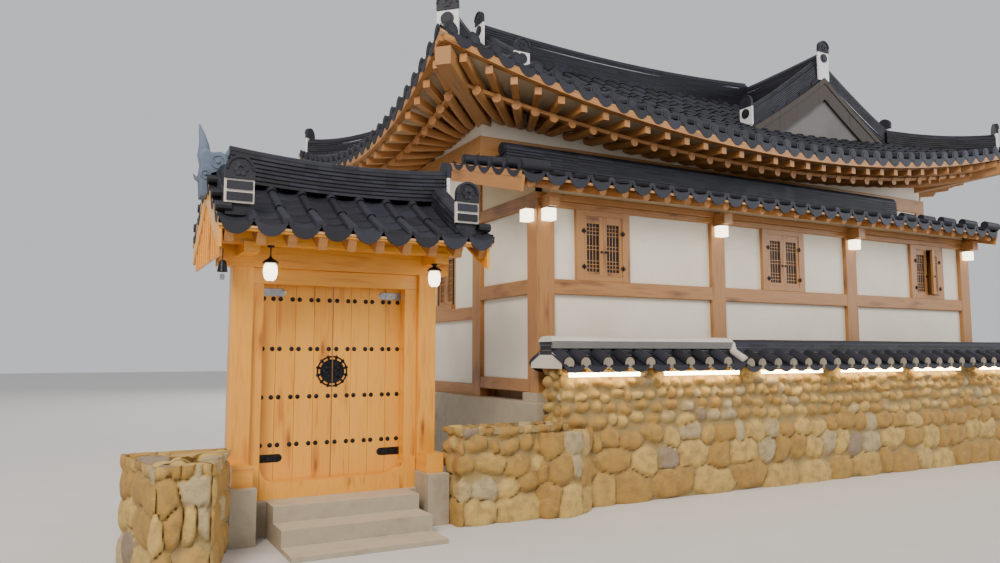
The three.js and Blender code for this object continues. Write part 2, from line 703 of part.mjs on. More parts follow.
function frameInHole(x0, x1, z0, z1, bars) {
  const rim = 70;
  const pieces = [
    block(x0 + SEAT, x0 + rim, 20, 180, z0 + SEAT, z1 - SEAT),
    block(x1 - rim, x1 - SEAT, 20, 180, z0 + SEAT, z1 - SEAT),
    block(x0 + SEAT, x1 - SEAT, 20, 180, z0 + SEAT, z0 + rim),
    block(x0 + SEAT, x1 - SEAT, 20, 180, z1 - rim, z1 - SEAT),
    block(x0 + rim - 5, x1 - rim + 5, 110, 125, z0 + rim - 5, z1 - rim + 5),
  ];
  const step = (x1 - x0 - 2 * rim) / bars;
  for (let i = 1; i < bars; i++)
    pieces.push(block(x0 + rim + step * i - 30, x0 + rim + step * i + 30, 60, 120, z0 + rim - 5, z1 - rim + 5));
  return join(...pieces);
}

const LEFT_WINDOW = [650, 1350, 2290, 3150];
const COURTYARD_DOOR = [1700, 3300, 1250, 3300];

function buildMainWalls() {
  const start = LEAN_TO_DEPTH + TIMBER + SEAT;
  const leftLength = MAIN_BACK - start;
  const onLeft = (geometry) => geometry.rotateZ(-Math.PI / 2).translate(0, MAIN_BACK, 0);
  const mirrored = leftLength;
  const leftPosts = [120, leftLength / 2 + 60];
  const window = [mirrored - LEFT_WINDOW[1], mirrored - LEFT_WINDOW[0], LEFT_WINDOW[2], LEFT_WINDOW[3]];
  add("left_wall", sideWall(leftLength, leftPosts, [window], onLeft), plaster);
  add("left_window", onLeft(frameInHole(...window, 2)), pine);

  const backStart = TIMBER + SEAT;
  const backLength = WING_LEFT - SEAT - backStart;
  const onBack = (geometry) => geometry.rotateZ(Math.PI).translate(WING_LEFT - SEAT, MAIN_BACK, 0);
  add("main_back_wall", sideWall(backLength, [1580, 3420], [COURTYARD_DOOR], onBack), plaster);
  add("courtyard_doors", onBack(frameInHole(...COURTYARD_DOOR, 4)), pine);

  const wingLength = WING_BACK - MAIN_BACK + TIMBER;
  const onWing = (geometry) => geometry.rotateZ(-Math.PI / 2).translate(WING_LEFT, WING_BACK, 0);
  add("wing_left_wall", sideWall(wingLength, [120, wingLength - 120], [], onWing), plaster);

  const wingX = WING_LEFT + TIMBER + SEAT;
  const wingBackLength = HOUSE_RIGHT - TIMBER - SEAT - wingX;
  const onWingBack = (geometry) => geometry.rotateZ(Math.PI).translate(wingX + wingBackLength, WING_BACK, 0);
  add("wing_back_wall", sideWall(wingBackLength, [wingBackLength / 2], [], onWingBack), plaster);

  const rightLength = WING_BACK - start;
  const onRight = (geometry) => geometry.rotateZ(Math.PI / 2).translate(HOUSE_RIGHT, start, 0);
  const rightPosts = [rightLength / 3, (rightLength * 2) / 3, rightLength - 120];
  const endX = LEAN_TO_END + SEAT;
  const endWall = block(endX, HOUSE_RIGHT - TIMBER - SEAT, 1500, 1640, TERRACE_TOP, RING_LOW - SEAT);
  add("right_wall", sideWall(rightLength, rightPosts, [], onRight), plaster);
  add("street_end_wall", endWall, plaster);
}

// Lean-to along the street

const WINDOWS = [
  { x0: 560, x1: 1360 },
  { x0: 3680, x1: 4520 },
  { x0: 6990, x1: 7830 },
];

function buildLeanToFrame() {
  const left = POST_CENTRES[0] - 120;
  const pieces = POST_CENTRES.map((x) => postBlock(x, 0, STONE_TOP, FRONT_BEAM_LOW + 10));
  pieces.push(block(left, LEAN_TO_END, 0, TIMBER, FRONT_BEAM_LOW, FRONT_BEAM_HIGH));
  pieces.push(block(left, LEAN_TO_END, 0, 60, RAIL_LOW, RAIL_HIGH));
  pieces.push(block(left, LEAN_TO_END, 0, TIMBER, STONE_TOP, STONE_TOP + 150));
  for (const x of POST_CENTRES) pieces.push(block(x - 70, x + 70, -200, 20, 3370, 3520));
  for (const x of [left, LEAN_TO_END - TIMBER]) {
    const face = x === left ? x : LEAN_TO_END - 60;
    pieces.push(block(x, x + TIMBER, TIMBER - 10, LEAN_TO_DEPTH - SEAT, FRONT_BEAM_LOW, FRONT_BEAM_HIGH));
    pieces.push(block(face, face + 60, TIMBER - 10, LEAN_TO_DEPTH - SEAT, RAIL_LOW, RAIL_HIGH));
    pieces.push(block(x, x + TIMBER, TIMBER - 10, LEAN_TO_DEPTH - SEAT, STONE_TOP, STONE_TOP + 150));
  }
  add("lean_to_frame", join(...pieces), pine);
}

function buildLeanToWalls() {
  const low = STONE_TOP + 150 + SEAT;
  const high = FRONT_BEAM_LOW - SEAT;
  WINDOWS.forEach(({ x0, x1 }, i) => {
    const from = POST_CENTRES[i] + 120 + SEAT;
    const to = POST_CENTRES[i + 1] - 120 - SEAT;
    const wall = block(from, to, 60 + SEAT, 200, low, high);
    const hole = block(x0, x1, 0, 300, RAIL_HIGH, high + 10);
    add(`front_wall_${i + 1}`, cut(wall, hole), plaster);
  });
  const sideFrom = TIMBER + SEAT;
  const sideTo = LEAN_TO_DEPTH - 2 * SEAT;
  add("lean_to_left_wall", block(60 + SEAT, 200, sideFrom, sideTo, low, high), plaster);
  add("lean_to_right_wall", block(LEAN_TO_END - 200, LEAN_TO_END - 60 - SEAT, sideFrom, sideTo, low, high), plaster);
}

// A casing with two leaves of frame and pane. The right leaf may stand ajar.
const CASING_SIDE = 110;
const AJAR_DEGREES = 19;

function windowPiece(x0, x1, ajar) {
  const z0 = RAIL_HIGH + SEAT;
  const z1 = FRONT_BEAM_LOW - 2 * SEAT;
  const rim = 65;
  const [a, b] = [x0 + SEAT, x1 - SEAT];
  const pieces = [
    block(a, a + CASING_SIDE, 10, 200, z0, z1),
    block(b - CASING_SIDE, b, 10, 200, z0, z1),
    block(a, b, 10, 200, z0, z0 + rim),
    block(a, b, 10, 200, z1 - rim, z1),
  ];
  const middle = (x0 + x1) / 2;
  const leafLow = z0 + rim - 8;
  const leafHigh = z1 - rim + 8;
  const leaf = (from, to, low, high) => {
    const stile = 55;
    return [
      block(from, from + stile, 20, 60, low, high),
      block(to - stile, to, 20, 60, low, high),
      block(from, to, 20, 60, low, low + stile),
      block(from, to, 20, 60, high - stile, high),
      block(from + 40, to - 40, 34, 46, low + 40, high - 40),
    ];
  };
  pieces.push(...leaf(a + CASING_SIDE - 8, middle + 1, leafLow, leafHigh));
  const free = ajar ? 10 : 0;
  const right = leaf(middle - 1, b - CASING_SIDE + 8, leafLow + free, leafHigh - free);
  if (ajar) {
    const hinge = [b - CASING_SIDE + 4, 24];
    const swing = THREE.MathUtils.degToRad(AJAR_DEGREES);
    for (const piece of right) piece.translate(-hinge[0], -hinge[1], 0).rotateZ(swing).translate(...hinge, 0);
  }
  pieces.push(...right);
  return join(...pieces);
}

function buildLeanToRoof() {
  const top = (x, y) => LEAN_TOP + LEAN_SLOPE * (y - LEAN_EAVE_Y);
  const backY = LEAN_TO_DEPTH - SEAT;
  const slab = quilt(
    [
      [
        [[LEAN_LEFT, LEAN_EAVE_Y], [LEAN_RIGHT, LEAN_EAVE_Y]],
        [[LEAN_LEFT, backY], [LEAN_RIGHT, backY]],
      ],
    ],
    top,
    (x, y) => top(x, y) - LEAN_THICK,
  );
  const ridge = block(250, 8500, 1215, backY - 10, 4050, 4510);
  add("lean_to_roof", join(slab, ridge), tile);

  const under = (y) => top(0, y) - LEAN_THICK - SEAT;
  const pieces = [
    bar([LEAN_LEFT + 20, -390, under(-450)], [LEAN_RIGHT - 20, -390, under(-450)], 60, 50),
  ];
  const span = LEAN_RIGHT - LEAN_LEFT - 300;
  const count = Math.round(span / 330);
  for (let i = 0; i <= count; i++) {
    const x = LEAN_LEFT + 150 + (span * i) / count;
    pieces.push(bar([x, -370, under(-370)], [x, LEAN_TO_DEPTH - 40, under(LEAN_TO_DEPTH - 40)], 100, 90));
  }
  add("lean_to_rafters", join(...pieces), pine);
}

// Terrace and floor

function buildBase() {
  const plan = [
    [-150, WALL_REAR + SEAT],
    [HOUSE_RIGHT + 150, WALL_REAR + SEAT],
    [HOUSE_RIGHT + 150, WING_BACK + 150],
    [WING_LEFT - 150, WING_BACK + 150],
    [WING_LEFT - 150, MAIN_BACK + 150],
    [-150, MAIN_BACK + 150],
  ];
  const stones = POST_CENTRES.map((x) => block(x - 160, x + 160, -50, TIMBER + 40, TERRACE_TOP - 10, STONE_TOP - SEAT));
  add("house_terrace", join(planSlab(plan, 0, TERRACE_TOP), ...stones), granite);

  const inner = TIMBER + 10;
  const floorPlan = [
    [inner, inner],
    [LEAN_TO_END - inner, inner],
    [LEAN_TO_END - inner, LEAN_TO_DEPTH + inner + 5],
    [HOUSE_RIGHT - inner, LEAN_TO_DEPTH + inner + 5],
    [HOUSE_RIGHT - inner, WING_BACK - inner],
    [WING_LEFT + inner, WING_BACK - inner],
    [WING_LEFT + inner, MAIN_BACK - inner],
    [inner, MAIN_BACK - inner],
  ];
  const posts = POST_LINE.map((x) => postBlock(x, LEAN_TO_DEPTH, 1000, 1400, 2));
  const stoneTools = POST_CENTRES.map((x) => block(x - 165, x + 165, -60, TIMBER + 45, 1000, 1400));
  add("house_floor", cut(planSlab(floorPlan, TERRACE_TOP, FLOOR_TOP), ...posts, ...stoneTools), pine);
}

// Street wall

function buildStreetWall() {
  const gateRight = -1381 + SEAT;
  const body = block(WALL_LEFT, WALL_RIGHT, WALL_FACE, WALL_REAR, 0, WALL_TOP);
  const link = block(gateRight, WALL_LEFT + 100, -820, -330, 0, 930);
  const bulge = block(-520, 300, -930, -300, 0, 860);
  add("street_wall", join(body, link, bulge), boulder);

  const ridgeY = (WALL_FACE + WALL_REAR) / 2;
  const profile = [
    [-350, 0],
    [350, 0],
    [350, 60],
    [110, 180],
    [110, 290],
    [0, 345],
    [-110, 290],
    [-110, 180],
    [-350, 60],
  ];
  const section = (from, to, raise) => {
    const shape = new THREE.Shape(profile.map(([y, z]) => new THREE.Vector2(y, z + (z > 0 ? raise : 0))));
    const geometry = new THREE.ExtrudeGeometry(shape, { depth: to - from, bevelEnabled: false });
    return geometry.rotateX(Math.PI / 2).rotateZ(Math.PI / 2).translate(from, ridgeY, WALL_TOP);
  };
  add("street_wall_coping", join(section(WALL_LEFT - 40, 2490, 20), section(2480, WALL_RIGHT, 0)), tile);
}

// Gate

function buildGateBase() {
  const pieces = [
    block(-3450, -1381, -285, -50, 0, SILL_LOW - SEAT),
    block(-3450, -3225, -590, -50, 0, 490),
    block(-1606, -1381, -590, -50, 0, 490),
  ];
  const sillLeft = GATE_POST_LEFT + GATE_POST / 2;
  const sillRight = GATE_POST_RIGHT - GATE_POST / 2;
  const sillRoom = block(sillLeft, sillRight, GATE_FRONT + 40, 0, SILL_LOW - SEAT, 600);
  add("gate_base", cut(join(...pieces), sillRoom), granite);
  const steps = [
    block(-3080, -1700, -590, -285 - SEAT, 0, 320),
    block(-3080, -1700, -920, -580, 0, 180),
    block(-3080, -1700, -1280, -910, 0, 40),
  ];
  add("gate_steps", join(...steps), granite);
  const corners = [
    [-4130, -1500],
    [-3700, -1500],
    [-3450 - SEAT, -640],
    [-3450 - SEAT, -500],
    [-4330, -500],
  ];
  const plan = new THREE.Shape(corners.map(([x, y]) => new THREE.Vector2(x, y)));
  add("gate_side_wall", new THREE.ExtrudeGeometry(plan, { depth: 850, bevelEnabled: false }), boulder);
}

function buildGateTimber() {
  for (const [name, x] of [["left", GATE_POST_LEFT], ["right", GATE_POST_RIGHT]]) {
    const half = GATE_POST / 2;
    const foot = block(x - 90, x + 90, -500, -110, 490 + SEAT, 680);
    const post = block(x - half, x + half, GATE_FRONT, GATE_BACK, 600, LINTEL_HIGH);
    add(`gate_post_${name}`, join(foot, post), honeyPine);
  }
  const innerLeft = GATE_POST_LEFT + GATE_POST / 2 + SEAT;
  const innerRight = GATE_POST_RIGHT - GATE_POST / 2 - SEAT;
  const shape = new THREE.Shape();
  const outline = [
    [innerLeft, SILL_LOW],
    [innerRight, SILL_LOW],
    [innerRight, LINTEL_HIGH - SEAT],
    [innerLeft, LINTEL_HIGH - SEAT],
  ];
  outline.forEach(([x, z], i) => (i ? shape.lineTo(x, z) : shape.moveTo(x, z)));
  shape.closePath();
  const hole = new THREE.Path();
  const [a, b] = [GATE_CENTRE - OPENING_HALF, GATE_CENTRE + OPENING_HALF];
  const round = 160;
  hole.moveTo(a + round, OPENING_LOW);
  hole.lineTo(b - round, OPENING_LOW);
  hole.absarc(b - round, OPENING_LOW + round, round, -Math.PI / 2, 0, false);
  hole.lineTo(b, OPENING_HIGH);
  hole.lineTo(a, OPENING_HIGH);
  hole.lineTo(a, OPENING_LOW + round);
  hole.absarc(a + round, OPENING_LOW + round, round, Math.PI, Math.PI * 1.5, false);
  shape.holes.push(hole);
  const ring = new THREE.ExtrudeGeometry(shape, { depth: 132, bevelEnabled: false, curveSegments: 5 });
  ring.rotateX(Math.PI / 2).translate(0, GATE_BACK, 0);
  const stubs = HINGE_HEIGHTS.flatMap((z) => [hingePin(-1, z - 60, z - SEAT), hingePin(1, z - 60, z - SEAT)]);
  const arms = HINGE_HEIGHTS.flatMap((z) =>
    [-1, 1].map((hand) => {
      const x = GATE_CENTRE + hand * HINGE_X;
      return block(x - 12, x + 12, GATE_BACK - 5, HINGE_Y, z - 60, z - 20);
    }),
  );
  add("gate_frame", join(ring, ...stubs, ...arms), honeyPine);
}

const HINGE_X = OPENING_HALF + LEAF_OVERLAP + 22;
const HINGE_Y = LEAF_FRONT + LEAF_THICK + 4;
const HINGE_HEIGHTS = [620, 2200];
const LEAF_LOW = 445;
const LEAF_HIGH = 2345;

function hingePin(hand, z0, z1) {
  const pin = new THREE.CylinderGeometry(PIN_RADIUS, PIN_RADIUS, z1 - z0, 12);
  return pin.rotateX(Math.PI / 2).translate(GATE_CENTRE + hand * HINGE_X, HINGE_Y, (z0 + z1) / 2);
}

function buildGateDoors() {
  for (const [name, hand] of [["left", -1], ["right", 1]]) {
    const outer = GATE_CENTRE + hand * (OPENING_HALF + LEAF_OVERLAP);
    const inner = GATE_CENTRE + (hand * LEAF_GAP) / 2;
    const [x0, x1] = [Math.min(outer, inner), Math.max(outer, inner)];
    const leaf = block(x0, x1, LEAF_FRONT, LEAF_FRONT + LEAF_THICK, LEAF_LOW, LEAF_HIGH);
    const knuckles = HINGE_HEIGHTS.map((z) => hingePin(hand, z, z + 90));
    const straps = HINGE_HEIGHTS.map((z) => {
      const far = outer - hand * 260;
      const near = GATE_CENTRE + hand * HINGE_X;
      const y = LEAF_FRONT + LEAF_THICK;
      return block(Math.min(far, near), Math.max(far, near), y - 4, y + 12, z + 15, z + 75);
    });
    const ledges = [700, 1400, 2050].map((z) => {
      const from = Math.min(inner + hand * 40, outer - hand * 300);
      const to = Math.max(inner + hand * 40, outer - hand * 300);
      return block(from, to, LEAF_FRONT + LEAF_THICK - 2, LEAF_FRONT + LEAF_THICK + 45, z, z + 90);
    });
    add(`gate_door_${name}`, join(leaf, ...knuckles, ...straps, ...ledges), honeyPine);
  }
}

const gateLift = (x, t) => {
  const s = (x - GATE_EAVE_LEFT) / (GATE_EAVE_RIGHT - GATE_EAVE_LEFT);
  return mix(GATE_EAVE_LIFT, GATE_RIDGE_LIFT, t) * (2 * s - 1) ** 2;
};
const gateTop = (x, y) => {
  const d = GATE_RUN - Math.abs(y - GATE_RIDGE_Y);
  const t = d / GATE_RUN;
  return GATE_EAVE_TOP + GATE_RISE * (0.8 * t + 0.2 * t * t) + gateLift(x, t);
};

function gateSlope(hand, inset, raise = 0) {
  const rows = even(4).map((t) => {
    const y = GATE_RIDGE_Y + hand * mix(GATE_RUN, inset, t);
    return even(8).map((s) => [mix(GATE_EAVE_LEFT, GATE_EAVE_RIGHT, s), y]);
  });
  return quilt(pairs(rows), (x, y) => gateTop(x, y) + raise, (x, y) => gateTop(x, y) - GATE_THICK + raise);
}

function buildGateRoof() {
  add("gate_roof_front", gateSlope(-1, GAP), tile);
  add("gate_roof_back", gateSlope(1, GAP), tile);
  const overGate = unite([gateSlope(-1, OVERLAP, 3 * SEAT), gateSlope(1, OVERLAP, 3 * SEAT)]);

  const [from, to] = [ORNAMENT_END, GATE_EAVE_RIGHT - 190];
  const line = spread(8, (t) => [mix(from, to, t), GATE_RIDGE_Y]);
  const crest = GATE_EAVE_TOP + GATE_RISE;
  const heights = line.map(([x]) => crest + gateLift(x, 1) * 1.4 + 290);
  const seats = line.map(([x]) => crest + gateLift(x, 1) + 20);
  const pieces = [courses(line, 220, heights, seats)];
  pieces.push(endTile([to, GATE_RIDGE_Y], heights[heights.length - 1] - 100, [1, 0]));
  for (const x of [GATE_EAVE_LEFT + 180, GATE_EAVE_RIGHT - 260])
    for (const hand of [-1, 1]) {
      const run = spread(3, (t) => [x, GATE_RIDGE_Y + hand * mix(ORNAMENT_THICK / 2 + 5, GATE_RUN - 130, t)]);
      const seat = run.map(([px, py]) => gateTop(px, py) + 45);
      pieces.push(courses(run, 220, seat.map((z) => z + 130), seat));
      const end = run[run.length - 1];
      pieces.push(endTile(end, gateTop(...end) + 290, [0, hand]));
    }
  add("gate_ridge", clear(join(...pieces), overGate), tile);

  const beams = [
    block(-3560, -1270, GATE_FRONT, GATE_BACK, LINTEL_HIGH + SEAT, GATE_BEAM_HIGH),
    block(-3630, -1270, -620, -500, 2640, 2760),
    block(-3630, -1270, 440, 560, 2640, 2760),
    block(-3630, -1270, -95, 35, 2800, 3145),
  ];
  for (const x of [GATE_POST_LEFT, GATE_POST_RIGHT]) beams.push(block(x - 70, x + 70, -640, 580, 2560, 2660));
  for (const x of [GATE_POST_LEFT, GATE_CENTRE, GATE_POST_RIGHT]) beams.push(block(x - 60, x + 60, -90, 20, 2600, 2900));
  for (let i = 0; i < 10; i++) {
    const x = mix(GATE_EAVE_LEFT + 100, GATE_EAVE_RIGHT - 100, i / 9);
    for (const hand of [-1, 1]) {
      const tip = [x, GATE_RIDGE_Y + hand * (GATE_RUN - 60)];
      const head = [x, GATE_RIDGE_Y + hand * 20];
      const low = GATE_THICK + 30;
      beams.push(bar([...tip, gateTop(...tip) - low], [...head, gateTop(...head) - low], 95, 95));
    }
  }
  for (const hand of [-1, 1]) {
    const rows = [GATE_RUN - 20, GATE_RUN - 90].map((d) =>
      even(8).map((s) => [mix(GATE_EAVE_LEFT + 20, GATE_EAVE_RIGHT - 20, s), GATE_RIDGE_Y + hand * d]),
    );
    const top = (x, y) => gateTop(x, y) - GATE_THICK - 1;
    beams.push(quilt(pairs(rows), top, (x, y) => top(x, y) - 45));
  }
  // A board closes the left gable down to a level edge. The right one has only its sloping boards.
  for (const [x, low] of [[GATE_EAVE_LEFT + 12, () => GABLE_BOARD_LOW], [GATE_EAVE_RIGHT - 70, (top) => top - 260]]) {
    const rows = [x, x + 30].map((px) => even(8).map((s) => [px, GATE_RIDGE_Y + mix(-820, 820, s)]));
    const top = (px, y) => gateTop(px, y) - GATE_THICK - 1;
    beams.push(quilt(pairs(rows), top, (px, y) => low(top(px, y))));
  }
  add("gate_roof_frame", join(...beams), honeyPine);
}

// A horned tile that closes the left end of the gate's ridge and overhangs the gable.
const ORNAMENT_END = GATE_EAVE_LEFT + 200;
const ORNAMENT_THICK = 190;

function buildOrnament() {
  const seat = GATE_EAVE_TOP + GATE_RISE + GATE_RIDGE_LIFT + 2;
  const outline = [
    [-70, 3110],
    [-SEAT, 3110],
    [-SEAT, seat],
    [200 - SEAT, seat],
    [200 - SEAT, 3490],
    [170, 3540],
    [110, 3570],
    [30, 3555],
    [-30, 3600],
    [-70, 3690],
    [-100, 3825],
    [-125, 3690],
    [-130, 3590],
    [-110, 3510],
    [-75, 3410],
    [-90, 3310],
    [-75, 3200],
  ];
  const shape = new THREE.Shape(outline.map(([x, z]) => new THREE.Vector2(x, z)));
  const geometry = new THREE.ExtrudeGeometry(shape, { depth: ORNAMENT_THICK, bevelEnabled: false });
  const solid = geometry.rotateX(Math.PI / 2).translate(GATE_EAVE_LEFT, GATE_RIDGE_Y + ORNAMENT_THICK / 2, 0);
  add("gate_ridge_ornament", solid, tile);
}

function buildLanterns() {
  for (const [name, x, middle, hangsFrom] of [["left", -3155, 2400, 2640], ["right", -1545, 2400, 2560]]) {
    const y = -560;
    const body = new THREE.CylinderGeometry(62, 52, 170, 6).rotateX(Math.PI / 2).translate(x, y, middle);
    const roof = new THREE.CylinderGeometry(18, 88, 60, 6).rotateX(Math.PI / 2).translate(x, y, middle + 110);
    const rodLength = hangsFrom - SEAT - middle - 130;
    const rod = new THREE.CylinderGeometry(9, 9, rodLength, 8)
      .rotateX(Math.PI / 2)
      .translate(x, y, hangsFrom - SEAT - rodLength / 2);
    add(`lantern_${name}`, join(body, roof, rod), lanternGlass);
  }
}

buildBase();
buildStreetWall();
buildLeanToFrame();
buildLeanToWalls();
WINDOWS.forEach(({ x0, x1 }, i) => add(`front_window_${i + 1}`, windowPiece(x0, x1, i === 2), pine));
buildLeanToRoof();
buildMainFrame();
buildMainWalls();
buildMainRoof();
buildRidges();
buildGables();
buildEaves();
buildGateBase();
buildGateTimber();
buildGateDoors();
buildGateRoof();
buildOrnament();
buildLanterns();

// The origin is at ground level under the middle of the whole plan.
const extent = new THREE.Box3().setFromObject(house);
const middle = extent.getCenter(new THREE.Vector3());
house.position.set(-Math.round(middle.x), -Math.round(middle.y), 0);

export default house;
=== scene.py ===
import math
import random

import bpy
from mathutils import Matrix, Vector, noise


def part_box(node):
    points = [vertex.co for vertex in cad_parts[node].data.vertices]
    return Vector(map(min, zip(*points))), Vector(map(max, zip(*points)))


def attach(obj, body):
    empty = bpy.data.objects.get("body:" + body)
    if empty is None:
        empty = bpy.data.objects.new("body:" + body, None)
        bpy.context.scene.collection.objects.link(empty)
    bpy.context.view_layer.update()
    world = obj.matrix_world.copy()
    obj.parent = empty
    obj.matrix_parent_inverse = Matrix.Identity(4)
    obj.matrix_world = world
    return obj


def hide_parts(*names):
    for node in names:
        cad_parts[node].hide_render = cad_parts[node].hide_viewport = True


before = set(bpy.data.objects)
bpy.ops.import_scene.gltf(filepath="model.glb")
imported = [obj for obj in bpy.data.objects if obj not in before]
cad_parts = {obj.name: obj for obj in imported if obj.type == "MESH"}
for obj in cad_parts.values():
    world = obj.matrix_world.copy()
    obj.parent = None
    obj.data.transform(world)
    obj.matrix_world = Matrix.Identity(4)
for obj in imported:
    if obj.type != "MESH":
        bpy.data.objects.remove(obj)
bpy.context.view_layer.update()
random.seed(11)

# Metres. Places are written from the lean-to's outer street corner, and ORIGIN moves them
# into the frame.
BEAM_END = 0.2
ORIGIN = Vector((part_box("lean_to_frame")[0].x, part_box("lean_to_frame")[0].y + BEAM_END, 0))
UP = Vector((0, 0, 1))

# Undersides, plaster, mortar and stone have one tone. Tiles and timbers have a tone each.
DARK_TONE, UNDER_TONE, EVEN_TONE = 0.3, 0.4, 0.5

TIMBER = 0.24
POST_HALF = TIMBER / 2
TERRACE_TOP = 1.1
STONE_TOP = 1.21
RAIL_LOW, RAIL_HIGH = 2.36, 2.54
FOOT_BEAM_HIGH = STONE_TOP + 0.15
FRONT_BEAM_LOW, FRONT_BEAM_HIGH = 3.4, 3.56
BEAM_LIP = 3.478  # above this height the front beam stands a little proud
RING_LOW, RING_HIGH = 4.35, 4.6
LEAN_TO_DEPTH = 1.47
POST_CENTRES = [0.12, 2.84, 5.53, 8.41]
LEAN_TO_END = 8.53
HOUSE_RIGHT = 9.68
MAIN_BACK = 6.07
WING_LEFT = 5.08
WING_BACK = 8.77
OVERHANG = 1.08

EAVE_FRONT = LEAN_TO_DEPTH - OVERHANG
EAVE_LEFT = -OVERHANG
EAVE_RIGHT = HOUSE_RIGHT + OVERHANG
EAVE_MAIN_BACK = MAIN_BACK + OVERHANG
EAVE_WING_LEFT = WING_LEFT - OVERHANG
EAVE_WING_BACK = WING_BACK + OVERHANG
RUN = 3.38
SKIRT = 1.45
LEFT_SKIRT = 2.25
MAIN_RIDGE_Y = EAVE_FRONT + RUN
WING_RIDGE_X = EAVE_WING_LEFT + RUN
LEFT_GABLE_X = EAVE_LEFT + LEFT_SKIRT
WING_GABLE_Y = EAVE_FRONT + SKIRT
WING_BACK_GABLE_Y = EAVE_WING_BACK - SKIRT
EAVE_TILE_TOP = 4.84
SLOPE = 0.45
HOLLOW = 0.0385
CORNER_LIFT = 0.72
COURT_LIFT = 0.42
EAVE_BOW = 0.13
EAVE_THICK, WALL_THICK, RIDGE_THICK = 0.11, 0.52, 0.35

TILE_PITCH = 0.3
PAN_COURSE = 0.17
COVER_TILE = 0.34
COVER_RADIUS = 0.078
PAN_SAG = 0.045
LAP = 0.014
TILE_SEAT = -0.035  # the pans' edges lie this far below the solids' tile line
COVER_SEAT = 0.012  # and the covers' edges this far below the pans' edges


def mix(a, b, t):
    return a + (b - a) * t


def clamp(value, low, high):
    return max(low, min(high, value))


def even(count):
    return [i / count for i in range(count + 1)]


# Shader sockets that add and multiply like numbers


class Wire:
    """A shader socket, with arithmetic that makes Math nodes."""

    def __init__(self, paint, socket):
        self.paint = paint
        self.socket = socket

    def maths(self, operation, *others):
        values = dict(enumerate((self, *others)))
        return self.paint.node("ShaderNodeMath", {"operation": operation}, values)

    def __add__(self, other):
        return self.maths("ADD", other)

    __radd__ = __add__

    def __mul__(self, other):
        return self.maths("MULTIPLY", other)

    __rmul__ = __mul__

    def __sub__(self, other):
        return self.maths("SUBTRACT", other)

    def __rsub__(self, other):
        return (self * -1) + other

    def ramp(self, low, high):
        """Smooth from 0 at low to 1 at high. It falls where low is the larger one."""
        return self.paint.node(
            "ShaderNodeMapRange",
            {"interpolation_type": "SMOOTHSTEP"},
            {"Value": self, "From Min": low, "From Max": high},
        )


class Paint:
    """A procedural material."""

    def __init__(self, name, roughness=0.6, metallic=0.0, **constants):
        self.material = bpy.data.materials.new(name)
        self.material.use_nodes = True
        self.tree = self.material.node_tree
        self.shader = self.tree.nodes["Principled BSDF"]
        self.set("Roughness", roughness)
        self.set("Metallic", metallic)
        for key, value in constants.items():
            self.set(key.replace("_", " "), value)

    def plug(self, slot, value):
        if isinstance(value, Wire):
            self.tree.links.new(value.socket, slot)
        else:
            slot.default_value = value

    def node(self, kind, settings=None, values=None, output=0):
        """Any node, by its type, its settings and its input values."""
        node = self.tree.nodes.new(kind)
        for key, value in (settings or {}).items():
            setattr(node, key, value)
        for key, value in (values or {}).items():
            self.plug(node.inputs[key], value)
        return Wire(self, node.outputs[output])

    def set(self, name, value):
        self.plug(self.shader.inputs[name], value)

    def scaled(self, vector, scale):
        return self.node("ShaderNodeMapping", values={"Vector": vector, "Scale": scale})

    def place(self, scale=(1, 1, 1), source="Object"):
        return self.scaled(self.node("ShaderNodeTexCoord", output=source), scale)

    def noise(self, vector, scale, detail=4, roughness=0.55, distortion=0):
        values = {"Vector": vector, "Scale": scale, "Detail": detail, "Roughness": roughness}
        values["Distortion"] = distortion
        return self.node("ShaderNodeTexNoise", values=values)

    def cells(self, vector, scale, feature="F1", output="Distance"):
        values = {"Vector": vector, "Scale": scale}
        return self.node("ShaderNodeTexVoronoi", {"feature": feature}, values, output)

    def tone(self, name="tone"):
        return self.node("ShaderNodeAttribute", {"attribute_name": name}, output="Fac")

    def blend(self, factor, first, second):
        node = self.tree.nodes.new("ShaderNodeMix")
        node.data_type = "RGBA"
        for key, value in (("Factor_Float", factor), ("A_Color", first), ("B_Color", second)):
            slot = next(s for s in node.inputs if s.identifier == key)
            self.plug(slot, (*value, 1) if isinstance(value, tuple) else value)
        return Wire(self, next(s for s in node.outputs if s.identifier == "Result_Color"))

    def bump(self, height, distance, strength):
        values = {"Height": height, "Distance": distance, "Strength": strength}
        self.set("Normal", self.node("ShaderNodeBump", values=values))


def shaded(color, share):
    return tuple(v * share for v in color)


